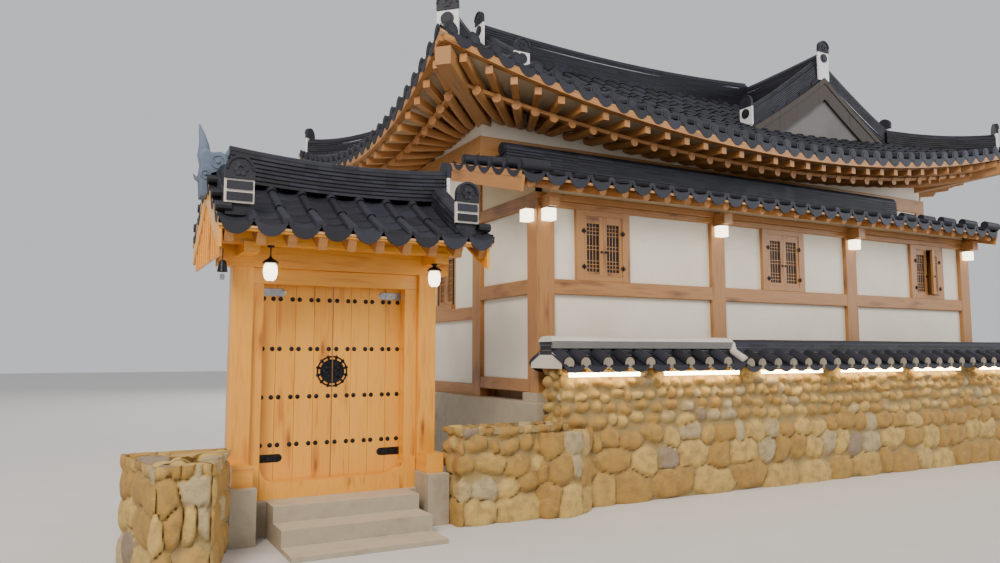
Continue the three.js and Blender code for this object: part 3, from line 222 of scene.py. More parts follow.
def wood(name, dark, middle, light, knots, roughness, coat=0.0):
    """Timber with its grain along the face's U direction."""
    paint = Paint(name, Coat_Roughness=0.3)
    tone = paint.tone()
    flat = paint.place(source="UV")
    values = {"X": tone * 37.0, "Y": tone * 11.0, "Z": tone * 5.0}
    offset = paint.node("ShaderNodeCombineXYZ", values=values)
    moved = paint.node("ShaderNodeVectorMath", {"operation": "ADD"}, {0: flat, 1: offset})
    knot_field = paint.cells(paint.scaled(moved, (1.4, 5.5, 1)), 1.0)
    knot = 1 - knot_field.ramp(0.02, 0.16)
    swirl = knot_field.ramp(0.5, 0.0)
    rings = paint.noise(paint.scaled(moved, (1.1, 13, 1)), 1.6, 3, 0.5, 0.6) + swirl * 0.35
    bands = (rings * 9.0).maths("SINE") * 0.5 + 0.5
    fibre = paint.noise(paint.scaled(moved, (3, 160, 1)), 1.0, 2)
    shade = bands * 0.55 + fibre * 0.35 + tone * 0.25
    color = paint.blend(shade.ramp(0.15, 1.0), light, middle)
    color = paint.blend((bands * fibre).ramp(0.35, 0.8) * 0.55, color, dark)
    color = paint.blend(knot * knots, color, shaded(dark, 0.45))
    paint.set("Base Color", color)
    paint.set("Roughness", fibre * 0.2 + (roughness - 0.1))
    paint.set("Coat Weight", coat)
    paint.bump(bands * 0.5 + fibre, 0.002, 0.45)
    return paint.material


def plaster(name, color, stain):
    """Trowelled lime plaster, a little darker in broad random patches."""
    paint = Paint(name, 0.88)
    place = paint.place()
    broad = paint.noise(place, 1.3, 5, 0.6)
    fine = paint.noise(place, 60, 4, 0.7)
    trowel = paint.noise(paint.place((1, 1, 2.5)), 7, 3, 0.5, 1.2)
    tinted = paint.blend(broad.ramp(0.35, 0.75) * 0.5, color, stain)
    tinted = paint.blend(trowel.ramp(0.5, 0.75) * 0.18, tinted, stain)
    paint.set("Base Color", tinted)
    paint.set("Roughness", broad * 0.1 + 0.82)
    paint.bump(fine * 0.35 + trowel, 0.004, 0.5)
    return paint.material


def roof_tile(name, dark, light):
    """Smoked clay tile: blue-black, with a dull sheen and grey dust."""
    paint = Paint(name)
    place = paint.place()
    tone = paint.tone()
    patches = paint.noise(place, 5, 4, 0.6)
    grit = paint.noise(place, 130, 3, 0.7)
    lichen = paint.noise(place, 17, 5, 0.65).ramp(0.58, 0.74)
    base = paint.blend((tone * 0.7 + patches * 0.5).ramp(0.2, 1.0), dark, light)
    base = paint.blend(lichen * 0.25, base, (0.07, 0.074, 0.072))
    paint.set("Base Color", base)
    paint.set("Roughness", patches * 0.25 + grit * 0.15 + 0.42)
    paint.bump(grit * 0.5 + patches, 0.003, 0.4)
    return paint.material


def granite(name, light, dark):
    """Dressed granite with a speckled, pitted face."""
    paint = Paint(name, 0.8)
    place = paint.place()
    tone = paint.tone()
    speck = paint.cells(place, 260)
    mottled = paint.noise(place, 9, 5, 0.65)
    grime = paint.noise(place, 2.2, 4, 0.6)
    base = paint.blend((mottled * 0.8 + tone * 0.35).ramp(0.3, 0.95), light, dark)
    base = paint.blend(speck.ramp(0.32, 0.1) * 0.5, base, (0.09, 0.08, 0.07))
    # Painted light: faces that point up are blended lighter and warmer, as if lit from above.
    normal = paint.node("ShaderNodeNewGeometry", output="Normal")
    upward = paint.node("ShaderNodeSeparateXYZ", values={"Vector": normal}, output="Z").ramp(0.5, 0.9)
    base = paint.blend(upward * 0.6, base, (0.58, 0.49, 0.35))
    base = paint.blend(grime.ramp(0.5, 0.8) * 0.5, base, shaded(dark, 0.5))
    paint.set("Base Color", base)
    paint.set("Roughness", mottled * 0.2 + 0.68)
    paint.bump(speck * 0.3 + mottled, 0.006, 0.6)
    return paint.material


def boulders(name, mortar):
    """Field stones of many browns in earthy mortar. The attribute "joint" is 1 in the mortar."""
    paint = Paint(name, 0.85)
    place = paint.place()
    tone = paint.tone()
    hue = paint.tone("hue")
    joint = paint.tone("joint")
    mottled = paint.noise(place, 9, 6, 0.68)
    broad = paint.noise(place, 2.5, 3, 0.6)
    grit = paint.noise(place, 90, 4, 0.7)
    vein = paint.noise(paint.place((1, 1, 3)), 5, 4, 0.6, 1.5)
    stone = paint.blend(tone, (0.46, 0.27, 0.055), (0.29, 0.165, 0.04))
    stone = paint.blend(hue.ramp(0.45, 0.6), stone, (0.52, 0.35, 0.10))
    stone = paint.blend(hue.ramp(0.84, 0.9), stone, (0.41, 0.33, 0.18))
    stone = paint.blend(hue.ramp(0.96, 0.98), stone, (0.25, 0.19, 0.13))
    stone = paint.blend(mottled.ramp(0.38, 0.72) * 0.6, stone, (0.16, 0.095, 0.04))
    stone = paint.blend(vein.ramp(0.6, 0.8) * 0.3, stone, (0.62, 0.50, 0.32))
    pale = paint.blend(grit.ramp(0.3, 0.7), mortar, shaded(mortar, 0.66))
    pale = paint.blend(broad.ramp(0.4, 0.7) * 0.4, pale, (0.22, 0.17, 0.10))
    paint.set("Base Color", paint.blend(joint, stone, pale))
    paint.set("Roughness", grit * 0.2 + 0.7)
    paint.bump(grit * 0.35 + mottled, 0.012, 0.8)
    return paint.material


def plain(name, color, spread, roughness=0.5, metallic=0.0, scale=40, **constants):
    """A smooth finish with faint mottling, for iron, glass, glaze and paper."""
    paint = Paint(name, roughness, metallic, **constants)
    mottled = paint.noise(paint.place(), scale, 4, 0.6)
    worn = tuple(min(v, 1) for v in shaded(color, spread))
    paint.set("Base Color", paint.blend(mottled.ramp(0.3, 0.75), color, worn))
    paint.set("Roughness", mottled * 0.2 + (roughness - 0.1))
    paint.bump(mottled, 0.001, 0.3)
    return paint.material


HONEY = wood("honey_pine", (0.26, 0.070, 0.005), (0.60, 0.215, 0.014), (0.77, 0.35, 0.032), 0.7, 0.42, 0.25)
BROWN = wood("brown_pine", (0.09, 0.030, 0.0065), (0.245, 0.099, 0.023), (0.37, 0.172, 0.047), 0.5, 0.52, 0.1)
EAVES = wood("eave_pine", (0.11, 0.043, 0.012), (0.29, 0.122, 0.032), (0.44, 0.20, 0.058), 0.45, 0.55)
CEILING = wood("ceiling_boards", (0.20, 0.09, 0.035), (0.40, 0.20, 0.08), (0.52, 0.29, 0.12), 0.3, 0.65)
VERGE = wood("verge_boards", (0.010, 0.008, 0.006), (0.032, 0.024, 0.019), (0.055, 0.042, 0.034), 0.3, 0.7)
CREAM = plaster("cream_plaster", (0.76, 0.705, 0.595), (0.62, 0.555, 0.44))
EAVE_PLASTER = plaster("eave_plaster", (0.70, 0.58, 0.38), (0.54, 0.42, 0.25))
TILE_END = plaster("clay_tile_end", (0.27, 0.235, 0.18), (0.16, 0.14, 0.11))
MORTAR = plaster("pale_mortar", (0.62, 0.58, 0.52), (0.42, 0.39, 0.35))
# Painted light: the ridge end's clay is tinted blue-grey for the cool light that falls on it.
ORNAMENT = plaster("clay_painted_blue_light", (0.13, 0.17, 0.24), (0.05, 0.065, 0.09))
GREY_PLASTER = plaster("grey_plaster", (0.17, 0.165, 0.16), (0.10, 0.097, 0.095))
LIME = plaster("lime_plaster", (0.80, 0.81, 0.82), (0.55, 0.57, 0.60))
TILE = roof_tile("roof_tile", (0.0045, 0.005, 0.0095), (0.017, 0.018, 0.032))
GRANITE = granite("granite", (0.38, 0.32, 0.23), (0.23, 0.185, 0.13))
BOULDER = boulders("boulder_stone", (0.35, 0.245, 0.09))
IRON = plain("black_iron", (0.012, 0.012, 0.014), 2.6, 0.42, 0.85)
STEEL = plain("dull_steel", (0.42, 0.42, 0.43), 0.7, 0.35, 0.9)
# Painted shade: the panes are an opaque near-black sheet that stands for the unlit room behind the glass.
GLASS_PAINTED_DARK = plain("dark_window", (0.010, 0.009, 0.010), 1.8, 0.6, scale=3, Specular_IOR_Level=0.2)
FLOOR_BOARDS = plain("floor_boards", (0.34, 0.17, 0.07), 0.7, 0.6, scale=9)


class Shape:
    """The faces of one piece, each with a grain direction (its UV), a tone and a material."""

    def __init__(self, name, *materials):
        self.name = name
        self.materials = materials
        self.points = []
        self.faces = []
        self.uvs = []
        self.slots = []
        self.tones = []
        self.slot = 0

    def use(self, material):
        self.slot = self.materials.index(material)
        return self

    def add(self, points, faces, uvs, tone=None):
        start = len(self.points)
        tone = random.random() if tone is None else tone
        self.points.extend(points)
        for face, corners in zip(faces, uvs):
            self.faces.append([start + i for i in face])
            self.uvs.extend(corners)
            self.slots.append(self.slot)
            self.tones.append(tone)

    def grid(self, rows, tone=None, closed=False):
        """A sheet over rows of points. U runs from row to row, V along a row."""
        width = len(rows[0])
        along = distances([row[0] for row in rows])
        across = distances(rows[len(rows) // 2])
        faces = []
        uvs = []
        for r, (u0, u1) in enumerate(zip(along, along[1:])):
            near, far = r * width, (r + 1) * width
            for i in range(width if closed else width - 1):
                j = (i + 1) % width
                faces.append([near + i, far + i, far + j, near + j])
                v0, v1 = across[i], across[j] if j else across[i] + 0.05
                uvs.append([(u0, v0), (u1, v0), (u1, v1), (u0, v1)])
        self.add([p for row in rows for p in row], faces, uvs, tone)

    def face(self, ring, flat, tone=None):
        """One face over a ring of points, with its own flat UV."""
        self.add(ring, [list(range(len(ring)))], [flat], tone)

    def sweep(self, stations, profile, tone=None, caps=True):
        """A profile of (side, up) carried along stations of (point, side, up)."""
        rows = [[point + side * s + up * u for s, u in profile] for point, side, up in stations]
        tone = random.random() if tone is None else tone
        self.grid(rows, tone, closed=True)
        if caps:
            flat = [(0.1 * s + 0.3, u) for s, u in profile]
            self.face(rows[0], flat, tone)
            self.face(rows[-1][::-1], flat[::-1], tone)

    def beam(self, a, b, width, high, tone=None):
        """A squared timber between the middles of its two ends."""
        self.sweep(straight(a, b), oblong(width / 2, -high / 2, high / 2), tone)

    def log(self, a, b, radius, sides=12, tone=None):
        self.sweep(straight(a, b), circle(radius, sides), tone)

    def block(self, x0, x1, y0, y1, z0, z1, tone=None):
        """A box with its grain along its longest side."""
        x, y, z = (x0 + x1) / 2, (y0 + y1) / 2, (z0 + z1) / 2
        sizes = (x1 - x0, y1 - y0, z1 - z0)
        longest = sizes.index(max(sizes))
        if longest == 0:
            self.beam((x0, y, z), (x1, y, z), sizes[1], sizes[2], tone)
        elif longest == 1:
            self.beam((x, y0, z), (x, y1, z), sizes[0], sizes[2], tone)
        else:
            self.beam((x, y, z0), (x, y, z1), sizes[0], sizes[1], tone)

    def plate(self, at, out, outline, depth):
        """An outline of (side, up) that stands at a point and faces a level direction."""
        out = Vector(out).normalized()
        side = out.cross(UP)
        at = Vector(at)
        self.sweep([(at, -side, UP), (at + out * depth, -side, UP)], outline[::-1])

    def make(self, body="house", replaces=(), slot=None, bevel=0.0, smooth=35, attributes=None):
        mesh = bpy.data.meshes.new(self.name)
        mesh.from_pydata([tuple(Vector(p) + ORIGIN) for p in self.points], [], self.faces)
        layer = mesh.uv_layers.new(name="grain")
        layer.data.foreach_set("uv", [v for uv in self.uvs for v in uv])
        mesh.polygons.foreach_set("material_index", self.slots)
        tone = mesh.attributes.new("tone", "FLOAT", "FACE")
        tone.data.foreach_set("value", self.tones)
        for name, values in (attributes or {}).items():
            mesh.attributes.new(name, "FLOAT", "POINT").data.foreach_set("value", values)
        for material in self.materials:
            mesh.materials.append(material)
        mesh.shade_smooth()
        mesh.set_sharp_from_angle(angle=math.radians(smooth))
        mesh.validate()
        piece = bpy.data.objects.new(self.name, mesh)
        bpy.context.collection.objects.link(piece)
        if bevel:
            edge = piece.modifiers.new("worn_edges", "BEVEL")
            edge.width = bevel
            edge.segments = 1
            edge.limit_method = "ANGLE"
            edge.angle_limit = math.radians(50)
        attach(piece, body)
        if replaces:
            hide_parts(*replaces)
        return piece


def straight(a, b):
    a, b = Vector(a), Vector(b)
    along = (b - a).normalized()
    side = along.cross(UP)
    side = side.normalized() if side.length > 0.01 else Vector((1, 0, 0))
    up = side.cross(along)
    return [(a, side, up), (b, side, up)]


def distances(points):
    """How far along a run of points each of them lies."""
    along = [0.0]
    for a, b in zip(points, points[1:]):
        along.append(along[-1] + (Vector(b) - Vector(a)).length)
    return along


def circle(radius, sides):
    step = 2 * math.pi / sides
    return [(radius * math.cos(i * step), radius * math.sin(i * step)) for i in range(sides)]


def arch(wide, tall, steps):
    """Half an ellipse of (side, up), from +wide over to -wide."""
    return [(math.cos(math.pi * t) * wide, math.sin(math.pi * t) * tall) for t in even(steps)]


def oblong(half, low, high):
    return [(-half, low), (half, low), (half, high), (-half, high)]


# Shape of the main roof, as the solids have it

CORNERS = [
    (EAVE_LEFT, EAVE_FRONT, 5.92, RUN, CORNER_LIFT),
    (EAVE_RIGHT, EAVE_FRONT, 5.92, 4.73, CORNER_LIFT),
    (EAVE_LEFT, EAVE_MAIN_BACK, 4.0, RUN, CORNER_LIFT),
    (EAVE_WING_LEFT, EAVE_WING_BACK, RUN, 2.7, COURT_LIFT),
    (EAVE_RIGHT, EAVE_WING_BACK, RUN, 4.73, CORNER_LIFT),
]


def lift(x, y):
    total = 0
    for cx, cy, reach_x, reach_y, high in CORNERS:
        u = max(0, 1 - abs(x - cx) / reach_x)
        v = max(0, 1 - abs(y - cy) / reach_y)
        total += high * u * u * v * v
    return total


def rise(d):
    return SLOPE * d + HOLLOW * d * d


def thickness(d):
    if d < OVERHANG:
        return mix(EAVE_THICK, WALL_THICK, max(d, 0) / OVERHANG)
    return mix(WALL_THICK, RIDGE_THICK, (d - OVERHANG) / (RUN - OVERHANG))


class Side:
    """One side of the roof. at(c, d) is the plan point c along its eave and d up the slope."""

    def __init__(self, length, at, depth, bows=True):
        self.length = length
        self.at = at
        self.depth = depth
        self.bows = bows
        count = round(length / TILE_PITCH)
        self.pitch = length / count

    def plan(self, c, d):
        room = self.length - 2 * d
        t = clamp((c - d) / room, 0, 1) if room > 0.01 else 0.5
        bow = EAVE_BOW * 4 * t * (1 - t) * (1 - d / SKIRT) if self.bows and d < SKIRT else 0
        return self.at(c, d + bow)

    def top(self, x, y):
        return EAVE_TILE_TOP + rise(self.depth(x, y)) + lift(x, y)

    def under(self, x, y):
        return self.top(x, y) - thickness(self.depth(x, y))

    def surface(self, c, d):
        x, y = self.plan(c, d)
        return Vector((x, y, self.top(x, y) + TILE_SEAT))

    def below(self, c, d, drop=0.0):
        x, y = self.plan(c, d)
        return Vector((x, y, self.under(x, y) - drop))


FRONT = Side(
    EAVE_RIGHT - EAVE_LEFT,
    lambda c, d: (EAVE_LEFT + c, EAVE_FRONT + d),
    lambda x, y: y - EAVE_FRONT,
)
LEFT = Side(
    EAVE_MAIN_BACK - EAVE_FRONT,
    lambda c, d: (EAVE_LEFT + d, EAVE_FRONT + c),
    lambda x, y: x - EAVE_LEFT,
)
RIGHT = Side(
    EAVE_WING_BACK - EAVE_FRONT,
    lambda c, d: (EAVE_RIGHT - d, EAVE_FRONT + c),
    lambda x, y: EAVE_RIGHT - x,
)
MAIN_REAR = Side(
    EAVE_WING_LEFT - EAVE_LEFT,
    lambda c, d: (EAVE_LEFT + c, EAVE_MAIN_BACK - d),
    lambda x, y: EAVE_MAIN_BACK - y,
    bows=False,
)
WING_COURT = Side(
    EAVE_WING_BACK - EAVE_MAIN_BACK,
    lambda c, d: (EAVE_WING_LEFT + d, EAVE_MAIN_BACK + c),
    lambda x, y: x - EAVE_WING_LEFT,
    bows=False,
)
WING_REAR = Side(
    EAVE_RIGHT - EAVE_WING_LEFT,
    lambda c, d: (EAVE_WING_LEFT + c, EAVE_WING_BACK - d),
    lambda x, y: EAVE_WING_BACK - y,
)


class Region:
    """Part of a slope between two places along the eave, from start(c) up to end(c)."""

    def __init__(self, side, low, high, start, end, eave=False):
        self.side = side
        self.low = low
        self.high = high
        self.start = start
        self.end = end
        self.eave = eave

    def depth(self, c, d):
        first = self.start(c)
        return clamp(d, first, max(first, self.end(c)))


# The valley crosses the street slope's depth d at c = VALLEY + d
VALLEY = WING_LEFT


def level(depth):
    return lambda c: depth


def hip(side, limit):
    return lambda c: min(c, side.length - c, limit)


def left_hip(c):
    return min(c, LEFT_SKIRT)


def valley(least):
    return lambda c: max(least, c - VALLEY)


def court_valley(least):
    return lambda c: max(least, -c)


ROOFS = {
    "roof_front": [
        Region(FRONT, 0, FRONT.length, level(0), hip(FRONT, SKIRT), True),
        Region(FRONT, SKIRT, VALLEY + LEFT_SKIRT, valley(SKIRT), left_hip),
        Region(FRONT, LEFT_SKIRT, VALLEY + RUN, valley(LEFT_SKIRT), level(RUN)),
    ],
    "roof_left": [Region(LEFT, 0, LEFT.length, level(0), hip(LEFT, LEFT_SKIRT), True)],
    "roof_right": [
        Region(RIGHT, 0, RIGHT.length, level(0), hip(RIGHT, SKIRT), True),
        Region(RIGHT, SKIRT, RIGHT.length - SKIRT, level(SKIRT), level(RUN)),
        Region(WING_COURT, WING_GABLE_Y - EAVE_MAIN_BACK, -RUN, lambda c: c + 2 * RUN, level(RUN)),
    ],
    "roof_main_back": [
        Region(MAIN_REAR, 0, VALLEY + LEFT_SKIRT, valley(0), left_hip, True),
        Region(MAIN_REAR, LEFT_SKIRT, VALLEY + RUN, valley(LEFT_SKIRT), level(RUN)),
    ],
    "roof_wing_left": [
        Region(
            WING_COURT, -SKIRT, WING_COURT.length, court_valley(0),
            lambda c: min(SKIRT, WING_COURT.length - c), True,
        ),
        Region(WING_COURT, -RUN, WING_COURT.length - SKIRT, court_valley(SKIRT), level(RUN)),
    ],
    "roof_wing_back": [Region(WING_REAR, 0, WING_REAR.length, level(0), hip(WING_REAR, SKIRT), True)],
}


def half_round(point, side, radius, lift, steps):
    """The upper half of a tile's round end."""
    return [point + side * s + UP * (u + lift) for s, u in reversed(arch(radius, radius, steps))]


def outward(surface, c):
    """The level direction out over the eave at c."""
    out = surface(c, 0) - surface(c, 0.1)
    out.z = 0
    return out.normalized()


def pans(shape, region, surface, c0, c1):
    """One column of concave tiles, lapped upwards like scales."""
    places = [mix(c0, c1, t) for t in even(4)]
    first = min(region.start(c) for c in places)
    last = max(region.end(c) for c in places)
    course = math.floor(first / PAN_COURSE)
    while course * PAN_COURSE < last - 0.001:
        rows = []
        foot, head = course * PAN_COURSE, (course + 1) * PAN_COURSE
        for depth, lap in ((foot, -0.006), (foot, LAP), (head, 0)):
            row = []
            for t, c in zip(even(4), places):
                sag = PAN_SAG * 4 * t * (1 - t)
                row.append(surface(c, region.depth(c, depth)) + UP * (lap - sag))
            rows.append(row)
        shape.grid(rows[::-1])
        course += 1


def covers(shape, region, surface, c):
    """One row of half-round cover tiles."""
    start, end = region.start(c), region.end(c)
    if end - start < 0.1:
        return
    side = (surface(c + 0.02, start) - surface(c - 0.02, start)).normalized()
    tile = math.floor(start / COVER_TILE)
    while tile * COVER_TILE < end - 0.001:
        rows = []
        for depth, grow in ((tile * COVER_TILE, 0.008), ((tile + 1) * COVER_TILE, 0)):
            point = surface(c, clamp(depth, start, end))
            rows.append(half_round(point, side, COVER_RADIUS + grow, grow - COVER_SEAT, 7))
        shape.grid(rows)
        tile += 1


def drop_tile(shape, point, side, out, width, deep=0.105):
    """The lobed plate that closes a pan at the eave."""
    half = width / 2 - 0.01
    top = [(mix(-half, half, t), -PAN_SAG * 4 * t * (1 - t)) for t in even(8)]
    low = [(s, u - 0.02 - deep * (1 - (s / half) ** 2) ** 0.6) for s, u in reversed(top)]
    stations = [(point - out * 0.02, side, UP), (point + out * 0.004, side, UP)]
    shape.sweep(stations, top + low)


def end_disc(shape, point, side, out, radius=COVER_RADIUS + 0.012):
    """The round plate that closes a row of cover tiles, with a plain raised ring."""
    middle = point + UP * 0.012
    shape.sweep([(middle - out * 0.014, side, UP), (middle, side, UP)], circle(radius, 14))
    shape.sweep([(middle, side, UP), (middle + out * 0.007, side, UP)], circle(radius * 0.62, 12))


def facing(side, out):
    """The side vector turned so that side, up and out make outward faces."""
    return side if side.cross(UP).dot(out) < 0 else -side


def tile_region(shape, region):
    surface, pitch = region.side.surface, region.side.pitch
    first = math.ceil((region.low - 0.5 * pitch) / pitch - 0.001)
    places = []
    while (first + 0.5) * pitch < region.high:
        places.append((first + 0.5) * pitch)
        first += 1
    edges = [region.low, *[c for c in places if region.low < c < region.high], region.high]
    for c0, c1 in zip(edges, edges[1:]):
        pans(shape, region, surface, c0, c1)
        middle = (c0 + c1) / 2
        if region.eave and region.start(middle) < 0.001 and c1 - c0 > pitch * 0.6:
            point = surface(middle, 0)
            side = (surface(c1, 0) - surface(c0, 0)).normalized()
            out = outward(surface, middle)
            drop_tile(shape, point + UP * (PAN_SAG * 0.2), facing(side, out), out, c1 - c0)
    for c in edges[1:-1]:
        covers(shape, region, surface, c)
        if region.eave and region.start(c) < 0.001:
            point = surface(c, 0)
            side = (surface(c + 0.02, 0) - surface(c - 0.02, 0)).normalized()
            out = outward(surface, c)
            end_disc(shape, point, facing(side, out), out)


def roof_underside(shape, region):
    """Boards under the slope, in strips that are bent where the solids' slopes bend."""
    board = 0.55
    count = max(2, round((region.high - region.low) / board))
    places = [mix(region.low, region.high, t) for t in even(count)]
    depths = [0, 0.36, 0.72, OVERHANG, SKIRT, LEFT_SKIRT, 2.8, RUN]
    for pair in zip(places, places[1:]):
        rows = [[region.side.below(c, region.depth(c, d)) for c in pair] for d in depths]
        shape.grid(rows, tone=UNDER_TONE)


def eave_face(shape, region):
    """The slope's edge between its boards and its lowest tiles."""
    places = [mix(region.low, region.high, t) for t in even(40)]
    places = [c for c in places if region.start(c) < 0.001]
    upper = [region.side.surface(c, 0.01) - UP * PAN_SAG for c in places]
    lower = [region.side.below(c, 0.01) for c in places]
    shape.grid([lower, upper], tone=DARK_TONE)


def dress_main_roof():
    for name, regions in ROOFS.items():
        shape = Shape(f"tiles_{name}", TILE, CEILING, EAVE_PLASTER)
        for region in regions:
            shape.use(TILE)
            tile_region(shape, region)
            shape.use(EAVE_PLASTER)
            roof_underside(shape, region)
            shape.use(CEILING)
            if region.eave:
                eave_face(shape, region)
        shape.make(replaces=[name], slot="roof_tile")


# Ridges and gables of the main roof

CREST = EAVE_TILE_TOP + rise(RUN)
RIDGE_WIDE = 0.28
RIDGE_HIGH, RIDGE_SAG = 0.36, 0.13
DESCENT_HIGH, HIP_HIGH = 0.36, 0.28
EDGE = 0.144
HIP_FOOT = 0.19
RIDGE_COURSE = 0.042
END_HALF = 0.14
GATE_END_HALF = 0.125


def ridge_courses(shape, line, width, seats, tops, cap=0.07):
    """Flat tiles in courses, from the slopes up to a row of half-round tiles."""
    rows = []
    count = max(3, round((tops[0] - seats[0] - cap) / RIDGE_COURSE))
    for i, (x, y) in enumerate(line):
        before, after = line[max(0, i - 1)], line[min(len(line) - 1, i + 1)]
        along = Vector((after[0] - before[0], after[1] - before[1], 0)).normalized()
        side = along.cross(UP)
        high = tops[i] - cap
        right = []
        for k in range(count):
            a, b = mix(seats[i], high, k / count), mix(seats[i], high, (k + 1) / count)
            reach = width / 2 - 0.002 * k
            inner = reach - 0.018
            right.append([(reach, a), (reach, mix(a, b, 0.66)), (inner, mix(a, b, 0.72)), (inner, b)])
        crown = [(s, high + u) for s, u in arch(0.085, cap, 6)]
        left = [[(-s, z) for s, z in reversed(course)] for course in reversed(right)]
        base = Vector((x, y, 0))
        rows.append([[base + side * s + UP * z for s, z in part] for part in (*right, crown, *left)])
    for low, high in zip(rows, rows[1:]):
        for a, b in zip(low, high):
            shape.grid([a, b])
    for row, step in ((rows[0], 1), (rows[-1], -1)):
        ring = [p for part in row for p in part][::step]
        shape.face(ring, [(p.x + p.y, p.z) for p in ring])


def end_tile(shape, place, out, top, low, half=END_HALF, layered=False):
    """The arched tile that closes a ridge, on a bed of plaster or of tile courses."""
    out = Vector((*out, 0)).normalized()
    at = Vector((*place, top))

    def crown(radius):
        return [(s, 0.07 + u) for s, u in arch(radius, radius, 12)]

    shape.use(TILE)
    shape.plate(at, out, [*crown(half), (-half, -0.01), (half, -0.01)], 0.05)
    shape.plate(at + out * 0.05, out, [*crown(half), *reversed(crown(half - 0.022))], 0.014)
    middle = at + out * 0.05 + UP * 0.075
    side = facing(out.cross(UP), out)
    for k in range(6):
        turn = math.pi * k / 3
        petal = middle + side * (0.042 * math.cos(turn)) + UP * (0.042 * math.sin(turn))
        shape.sweep([(petal, side, UP), (petal + out * 0.01, side, UP)], circle(0.022, 8))
    bed = [(half, -0.012), (-half, -0.012), (-half, low - top), (half, low - top)]
    shape.use(MORTAR if layered else LIME).plate(at, out, bed, 0.034)
    shape.use(TILE)
    face = at + out * 0.034
    if layered:
        reach = half - 0.016
        deep = (top - low - 0.05) / 2
        for high in (-0.03, -0.045 - deep):
            foot = high - deep + 0.012
            shape.plate(face, out, [(reach, high), (-reach, high), (-reach, foot), (reach, foot)], 0.016)
    elif top - low > 0.26:
        disc = face - UP * 0.125
        shape.sweep([(disc, side, UP), (disc + out * 0.02, side, UP)], circle(0.085, 14))
        shape.sweep([(disc + out * 0.02, side, UP), (disc + out * 0.028, side, UP)], circle(0.055, 12))


def climb(shape, side, start, end, count, high):
    line = [(mix(start[0], end[0], t), mix(start[1], end[1], t)) for t in even(count)]
    seats = [side.top(x, y) - 0.07 for x, y in line]
    ridge_courses(shape, line, RIDGE_WIDE, seats, [z + 0.07 + high for z in seats])


def descent(name, side, foot, head, corner=None, hip_corner=None, shape=None):
    """A ridge down beside a gable, and on down the hip to the corner of the eaves."""
    own = shape is None
    shape = shape or Shape(f"courses_{name}", TILE, LIME)
    shape.use(TILE)
    climb(shape, side, foot, head, 10, DESCENT_HIGH)
    way = (foot[0] - head[0], foot[1] - head[1])
    seat = side.top(*foot)
    end_tile(shape, foot, way, seat + DESCENT_HIGH, seat - 0.02)
    if corner:
        out = (math.copysign(1, corner[0] - foot[0]), math.copysign(1, corner[1] - foot[1]))
        tip = (corner[0] - out[0] * HIP_FOOT, corner[1] - out[1] * HIP_FOOT)
        start = (hip_corner[0] - out[0] * 0.06, hip_corner[1] - out[1] * 0.06)
        shape.use(TILE)
        climb(shape, side, tip, start, 14, HIP_HIGH)
        end_tile(shape, tip, out, side.top(*tip) + HIP_HIGH, side.top(*tip) - 0.06)
    if own:
        shape.make(replaces=[name], slot="roof_tile")


def dress_ridges():
    def sag(t):
        return CREST + RIDGE_HIGH + RIDGE_SAG * (2 * t - 1) ** 2

    shape = Shape("courses_roof_ridge", TILE, LIME)
    count = 22
    main = [(mix(LEFT_GABLE_X, WING_RIDGE_X - 0.04, t), MAIN_RIDGE_Y) for t in even(count)]
    wing = [(WING_RIDGE_X, mix(WING_GABLE_Y, WING_BACK_GABLE_Y, t)) for t in even(count)]
    for line in (main, wing):
        ridge_courses(shape, line, RIDGE_WIDE, [CREST - 0.1] * (count + 1), [sag(t) for t in even(count)])
    for place, out in ((main[0], (-1, 0)), (wing[0], (0, -1)), (wing[-1], (0, 1))):
        end_tile(shape, place, out, sag(0), CREST - 0.06)
    half = RIDGE_WIDE / 2
    left, right = EAVE_WING_LEFT + SKIRT, EAVE_RIGHT - SKIRT
    street, back = WING_GABLE_Y + EDGE, WING_BACK_GABLE_Y - EDGE
    near, far = EAVE_FRONT + LEFT_SKIRT, EAVE_MAIN_BACK - LEFT_SKIRT
    gable_x = LEFT_GABLE_X + EDGE
    descent("", WING_COURT, (left + 0.1, street), (WING_RIDGE_X - half + 0.02, street), shape=shape)
    shape.make(replaces=["roof_ridge"], slot="roof_tile")
    half += 0.014
    descent(
        "ridge_left_front", FRONT, (gable_x, near), (gable_x, MAIN_RIDGE_Y - half),
        (EAVE_LEFT, EAVE_FRONT), (LEFT_GABLE_X, near),
    )
    descent(
        "ridge_left_back", MAIN_REAR, (gable_x, far), (gable_x, MAIN_RIDGE_Y + half),
        (EAVE_LEFT, EAVE_MAIN_BACK), (LEFT_GABLE_X, far),
    )
    descent(
        "ridge_street_right", RIGHT, (right, street), (WING_RIDGE_X + half, street),
        (EAVE_RIGHT, EAVE_FRONT), (right, WING_GABLE_Y),
    )
    descent(
        "ridge_wing_back_left", WING_COURT, (left, back), (WING_RIDGE_X - half, back),
        (EAVE_WING_LEFT, EAVE_WING_BACK), (left, WING_BACK_GABLE_Y),
    )
    descent(
        "ridge_wing_back_right", RIGHT, (right, back), (WING_RIDGE_X + half, back),
        (EAVE_RIGHT, EAVE_WING_BACK), (right, WING_BACK_GABLE_Y),
    )


VERGE_DEEP = 0.42


